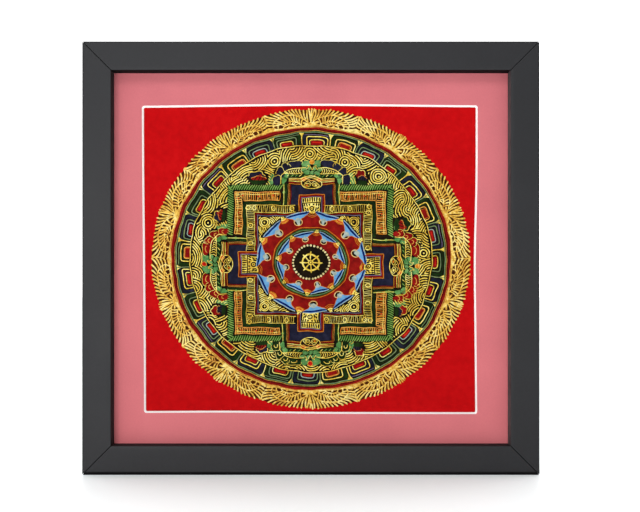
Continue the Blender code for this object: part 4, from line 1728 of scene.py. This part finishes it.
build_mat()

# ================================================================= the frame
ROOT_LOW, ROOT_HIGH = CAD_BOX
FRAME_WIDTH = ROOT_HIGH[0] - ROOT_LOW[0]
FRAME_HEIGHT = ROOT_HIGH[2] - ROOT_LOW[2]
FRONT_Y, BACK_Y = ROOT_LOW[1], ROOT_HIGH[1]
RAIL_FACE = 0.0174
REBATE_WIDTH = 0.0060
LIP_BACK_Y = MAT_LOW[1] - 0.0003
RADIUS_TOP, RADIUS_BOTTOM = 0.0008, 0.0014


def frame_material():
    """Black paint on wood: satin, with the grain faint under it."""
    made = new_material("black_frame_paint", 0.46, 0.0, 0.26)
    point = object_point(made)
    soft = noise(made, point, 35.0, 3.0, 0.5)
    peel = noise(made, point, 700.0, 3.0, 0.6)
    colour_of(
        made,
        ramp(
            made,
            blend_values(made, soft, 0.6, peel),
            [(0.35, (0.0095, 0.0095, 0.011)), (0.5, (0.0112, 0.0112, 0.0132)), (0.65, (0.0132, 0.0132, 0.0152))],
        ),
    )
    roughness_of(made, soft, 0.42, 0.56)
    bump(made, peel, 0.16, 0.00006)
    return made


def paint_copy_with_painted_light(name, deep, pale, specular):
    """A flat matte copy of the frame's paint that paints light: painted shade inside the top, left and bottom lips and
    on the bottom rail's foot, a painted contact shadow under it, and a painted highlight inside the right lip.
    """
    made = new_material(name, 0.8, 0.0, specular)
    soft = noise(made, object_point(made), 120.0, 3.0, 0.6)
    colour_of(made, ramp(made, soft, [(0.35, deep), (0.65, pale)]))
    return made


def rail_profile():
    """A rail's cross-section as (distance in from the outer face, y), clockwise from the outer
    front arris, with rounded arrises."""
    ease_front, ease_back, ease_lip = 0.0011, 0.0006, 0.0003
    points = []

    def arc(u, y, radius, start, end, steps):
        for k in range(steps + 1):
            a = math.radians(start + (end - start) * k / steps)
            points.append((u + radius * math.cos(a), y + radius * math.sin(a)))

    def run(start, end, steps):
        for k in range(1, steps):
            t = k / steps
            points.append((start[0] + (end[0] - start[0]) * t, start[1] + (end[1] - start[1]) * t))

    arc(ease_front, FRONT_Y + ease_front, ease_front, 180, 270, 7)
    points.append((0.0020, FRONT_Y))
    run((0.0020, FRONT_Y), (RAIL_FACE - ease_lip, FRONT_Y), 6)
    arc(RAIL_FACE - ease_lip, FRONT_Y + ease_lip, ease_lip, 270, 360, 4)
    run((RAIL_FACE, FRONT_Y + ease_lip), (RAIL_FACE, LIP_BACK_Y), 4)
    points.append((RAIL_FACE, LIP_BACK_Y))
    points.append((RAIL_FACE - REBATE_WIDTH, LIP_BACK_Y))
    run((RAIL_FACE - REBATE_WIDTH, LIP_BACK_Y), (RAIL_FACE - REBATE_WIDTH, BACK_Y - 0.0002), 4)
    arc(RAIL_FACE - REBATE_WIDTH - 0.0002, BACK_Y - 0.0002, 0.0002, 0, 90, 2)
    run((RAIL_FACE - REBATE_WIDTH - 0.0002, BACK_Y), (ease_back, BACK_Y), 4)
    arc(ease_back, BACK_Y - ease_back, ease_back, 90, 180, 4)
    run((0.0, BACK_Y - ease_back), (0.0, FRONT_Y + ease_front), 5)
    return np.array(points)


def build_rail(name, node, out_x, out_z, reach, half_length, paints):
    """One mitred rail. The joint with its neighbour is a fine groove at the face that closes
    farther in."""
    profile = rail_profile()
    count = len(profile)
    gap = 0.00025 * np.clip(1 - (profile[:, 1] - FRONT_Y) / 0.003, 0, 1)
    near = [0.0, 0.00012, 0.0004, 0.0011, 0.0018, 0.003, 0.006]
    far = np.linspace(0.012, half_length, 12)[:-1]
    ends = [half_length - d for d in near] + [half_length - d for d in far]
    stations = sorted(set([-e for e in ends] + [0.0] + ends))
    rings = []
    middle = profile.mean(axis=0)
    for station in stations:
        share = station / half_length
        section = profile.copy()
        at_end = abs(station) >= half_length - 1e-9
        if at_end:  # the mitre's own arris, eased
            pull = profile - middle
            pull /= np.maximum(np.linalg.norm(pull, axis=1), 1e-9)[:, None]
            section = profile - pull * 0.00006
        u = section[:, 0]
        along_rail = share * (half_length - u - gap)
        outward = reach - u
        x = out_x * outward + out_z * along_rail
        z = out_z * outward - out_x * along_rail
        # the frame's corners are rounded
        for radius, side_z in ((RADIUS_TOP, 1), (RADIUS_BOTTOM, -1)):
            cx, cz = FRAME_WIDTH / 2 - radius, side_z * (FRAME_HEIGHT / 2 - radius)
            dx, dz = np.abs(x) - cx, (z - cz) * side_z
            outside = (dx > 0) & (dz > 0)
            length = np.hypot(dx, dz)
            over = outside & (length > radius)
            scale = np.where(over, radius / np.maximum(length, 1e-9), 1.0)
            x = np.where(over, np.sign(x) * (cx + dx * scale), x)
            z = np.where(over, cz + side_z * dz * scale, z)
        rings.append(
            np.column_stack([x, section[:, 1], z + ROOT_LOW[2] + FRAME_HEIGHT / 2])
        )
    verts = np.concatenate(rings)
    faces = []
    for r in range(len(rings) - 1):
        for i in range(count):
            j = (i + 1) % count
            faces.append((r * count + i, r * count + j, (r + 1) * count + j, (r + 1) * count + i))
    faces.append(tuple(range(count)))
    faces.append(tuple(range((len(rings) - 1) * count, len(rings) * count)))
    mesh = mesh_from(name, verts, faces)
    body = bmesh.new()
    body.from_mesh(mesh)
    bmesh.ops.recalc_face_normals(body, faces=body.faces)
    body.to_mesh(mesh)
    body.free()
    made = show(name, mesh, paints)
    middle_u, middle_y = (profile + np.roll(profile, -1, axis=0)).T / 2
    # Slot 1: the lip's inner faces, in a copy of the paint that holds painted light: shade at the top, left and bottom,
    # a highlight at the right.
    look = np.where((middle_u > RAIL_FACE - 0.00012) & (middle_y > FRONT_Y + 0.0002), 1, 0)
    # On the bottom rail, the front face's lowest strip is painted shade (slot 2) and the rounded arris below it a
    # painted contact shadow (slot 3).
    if out_z < 0:
        look[(middle_u < 0.0020) & (middle_y < FRONT_Y + 0.0001)] = 2
        look[(middle_u < 0.0009) & (middle_y < FRONT_Y + 0.0016)] = 3
    looks = np.concatenate([np.tile(look, len(rings) - 1), [0, 0]])
    mesh.polygons.foreach_set("material_index", looks.astype(np.int32))
    mesh.set_sharp_from_angle(angle=math.radians(50))
    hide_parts(node)
    return made


FRAME_PAINT = frame_material()
# Copies of the paint that paint light inside the lips: painted shade at the top, a lighter painted shade at the left
# and bottom, a painted highlight at the right.
SHADED_LIP = paint_copy_with_painted_light("painted_shade_top_lip", (0.0040, 0.0038, 0.0044), (0.0070, 0.0066, 0.0076), 0.06)
HALF_SHADED_LIP = paint_copy_with_painted_light("painted_half_shade_lips", (0.0105, 0.0108, 0.0114), (0.0150, 0.0152, 0.0160), 0.16)
HIGHLIT_RIGHT_LIP = paint_copy_with_painted_light("painted_highlight_right_lip", (0.050, 0.047, 0.049), (0.085, 0.080, 0.082), 0.3)
# Copies that paint the bottom rail's foot: painted shade on the front face's lowest strip and a painted contact shadow
# on the rounded arris under it.
SHADED_FOOT = paint_copy_with_painted_light("painted_shade_foot", (0.0048, 0.0046, 0.0050), (0.0068, 0.0066, 0.0071), 0.08)
CONTACT_SHADOW_UNDER = paint_copy_with_painted_light("painted_contact_shadow_under", (0.0006, 0.0006, 0.0007), (0.0012, 0.0011, 0.0013), 0.0)
for name, node, out_x, out_z, reach, half_length in (
    ("rail_top", "frame_rail_top", 0, 1, FRAME_HEIGHT / 2, FRAME_WIDTH / 2),
    ("rail_bottom", "frame_rail_bottom", 0, -1, FRAME_HEIGHT / 2, FRAME_WIDTH / 2),
    ("rail_left", "frame_rail_left", -1, 0, FRAME_WIDTH / 2, FRAME_HEIGHT / 2),
    ("rail_right", "frame_rail_right", 1, 0, FRAME_WIDTH / 2, FRAME_HEIGHT / 2),
):
    # Each lip's inner faces take a copy of the paint with painted light; the bottom rail also takes the painted shade
    # and contact shadow of its foot.
    paints = [FRAME_PAINT, SHADED_LIP if out_z > 0 else HIGHLIT_RIGHT_LIP if out_x > 0 else HALF_SHADED_LIP]
    if out_z < 0:
        paints += [SHADED_FOOT, CONTACT_SHADOW_UNDER]
    build_rail(name, node, out_x, out_z, reach, half_length, paints)


# ================================================================= the backing board
def build_backing():
    """Hardboard, with the print of the screen it was pressed on."""
    low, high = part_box("backing_board")
    body = bmesh.new()
    bmesh.ops.create_cube(body, size=1.0)
    size = [h - l for l, h in zip(low, high)]
    bmesh.ops.scale(body, vec=size, verts=body.verts)
    bmesh.ops.translate(body, vec=[(l + h) / 2 for l, h in zip(low, high)], verts=body.verts)
    bmesh.ops.bevel(
        body, geom=list(body.edges), offset=0.0004, segments=2, profile=0.5, affect="EDGES"
    )
    bmesh.ops.subdivide_edges(
        body,
        edges=[e for e in body.edges if e.calc_length() > 0.05],
        cuts=12,
        use_grid_fill=True,
    )
    mesh = bpy.data.meshes.new("backing_sheet")
    body.to_mesh(mesh)
    body.free()
    brown = new_material("hardboard", 0.78, 0.0, 0.25)
    nodes, links = nodes_of(brown)
    point = object_point(brown)
    fibre = noise(brown, object_point(brown, (1.0, 1.0, 1.6)), 620.0, 6.0, 0.72)
    cloudy = noise(brown, point, 22.0, 3.0, 0.5)
    colour_of(
        brown,
        ramp(
            brown,
            blend_values(brown, fibre, 0.55, cloudy),
            [(0.34, (0.115, 0.062, 0.03)), (0.5, (0.19, 0.108, 0.055)), (0.66, (0.285, 0.175, 0.098))],
        ),
    )
    bump(brown, blend_values(brown, weave_height(brown, 0.0019, 0.8), 0.6, fibre), 0.5, 0.00018)
    made = show("backing_sheet", mesh, [brown])
    mesh.set_sharp_from_angle(angle=math.radians(40))
    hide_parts("backing_board")
    return made


build_backing()


# ================================================================= studio
ROOM_FRONT, ROOM_BACK = 0.25, 2.3
SOFTBOXES = [  # name, place, size, watts
    ("key_left", (-0.34, -1.26, 0.10), (0.45, 0.4), 6.0),
    ("fill_right", (0.22, -1.30, 0.08), (0.45, 0.4), 1.4),
    ("overhead", (-0.24, -1.70, 1.26), (1.3, 0.8), 14.5),
]


def build_studio():
    """A pale table, a white room, a softbox at the left and a weaker one at the right."""
    scene = bpy.context.scene
    table = bpy.data.meshes.new("floor")
    body = bmesh.new()
    bmesh.ops.create_grid(body, x_segments=8, y_segments=8, size=6.0)
    body.to_mesh(table)
    body.free()
    floor = bpy.data.objects.new("floor", table)
    scene.collection.objects.link(floor)
    floor.location = (0.0, 0.0, ROOT_LOW[2])
    finish = new_material("white_table", 0.4, 0.0, 0.06)
    shader_of(finish).inputs["Base Color"].default_value = (0.77, 0.8, 0.81, 1.0)
    shader_of(finish).inputs["Emission Color"].default_value = (0.95, 1.0, 1.0, 1.0)
    shader_of(finish).inputs["Emission Strength"].default_value = 0.25  # lit from below
    table.materials.append(finish)

    # the room: bright white behind the table, grey on the camera's side
    world = bpy.data.worlds.new("white_room")
    world.use_nodes = True
    nodes, links = world.node_tree.nodes, world.node_tree.links
    where = nodes.new("ShaderNodeTexCoord")
    split = nodes.new("ShaderNodeSeparateXYZ")
    links.new(where.outputs["Generated"], split.inputs["Vector"])
    level = nodes.new("ShaderNodeMapRange")
    level.interpolation_type = "SMOOTHSTEP"
    level.inputs["From Min"].default_value = -0.35
    level.inputs["From Max"].default_value = 0.35
    level.inputs["To Min"].default_value = ROOM_FRONT
    level.inputs["To Max"].default_value = ROOM_BACK
    links.new(split.outputs["Y"], level.inputs["Value"])
    links.new(level.outputs["Result"], nodes["Background"].inputs["Strength"])
    nodes["Background"].inputs["Color"].default_value = (1.0, 1.0, 1.0, 1.0)
    scene.world = world

    for name, place, size, energy in SOFTBOXES:
        lamp = bpy.data.lights.new(name, "AREA")
        lamp.shape = "RECTANGLE"
        lamp.size, lamp.size_y = size
        lamp.energy = energy
        box = bpy.data.objects.new(name, lamp)
        scene.collection.objects.link(box)
        box.location = place
        aim(box, (0.0, 0.0, 0.13))

    camera = bpy.data.cameras.new("camera")
    camera.sensor_width = 36.0
    camera.lens = 56.3
    camera.shift_y = 0.0372
    camera.clip_start, camera.clip_end = 0.01, 50.0
    view = bpy.data.objects.new("camera", camera)
    scene.collection.objects.link(view)
    view.location = (0.0055, FRONT_Y - 0.599, 0.1169)
    view.rotation_euler = (math.pi / 2, 0.0, 0.0)
    scene.camera = view

    scene.view_settings.view_transform = "Standard"
    scene.view_settings.look = "None"
    scene.view_settings.exposure = 0.0
    scene.view_settings.gamma = 1.0


def aim(item, target):
    """Turns a lamp's -Z to a point."""
    x, y, z = (t - p for t, p in zip(target, item.location))
    item.rotation_euler = (
        math.atan2(math.hypot(x, y), -z),
        0.0,
        math.atan2(y, x) - math.pi / 2,
    )


build_studio()
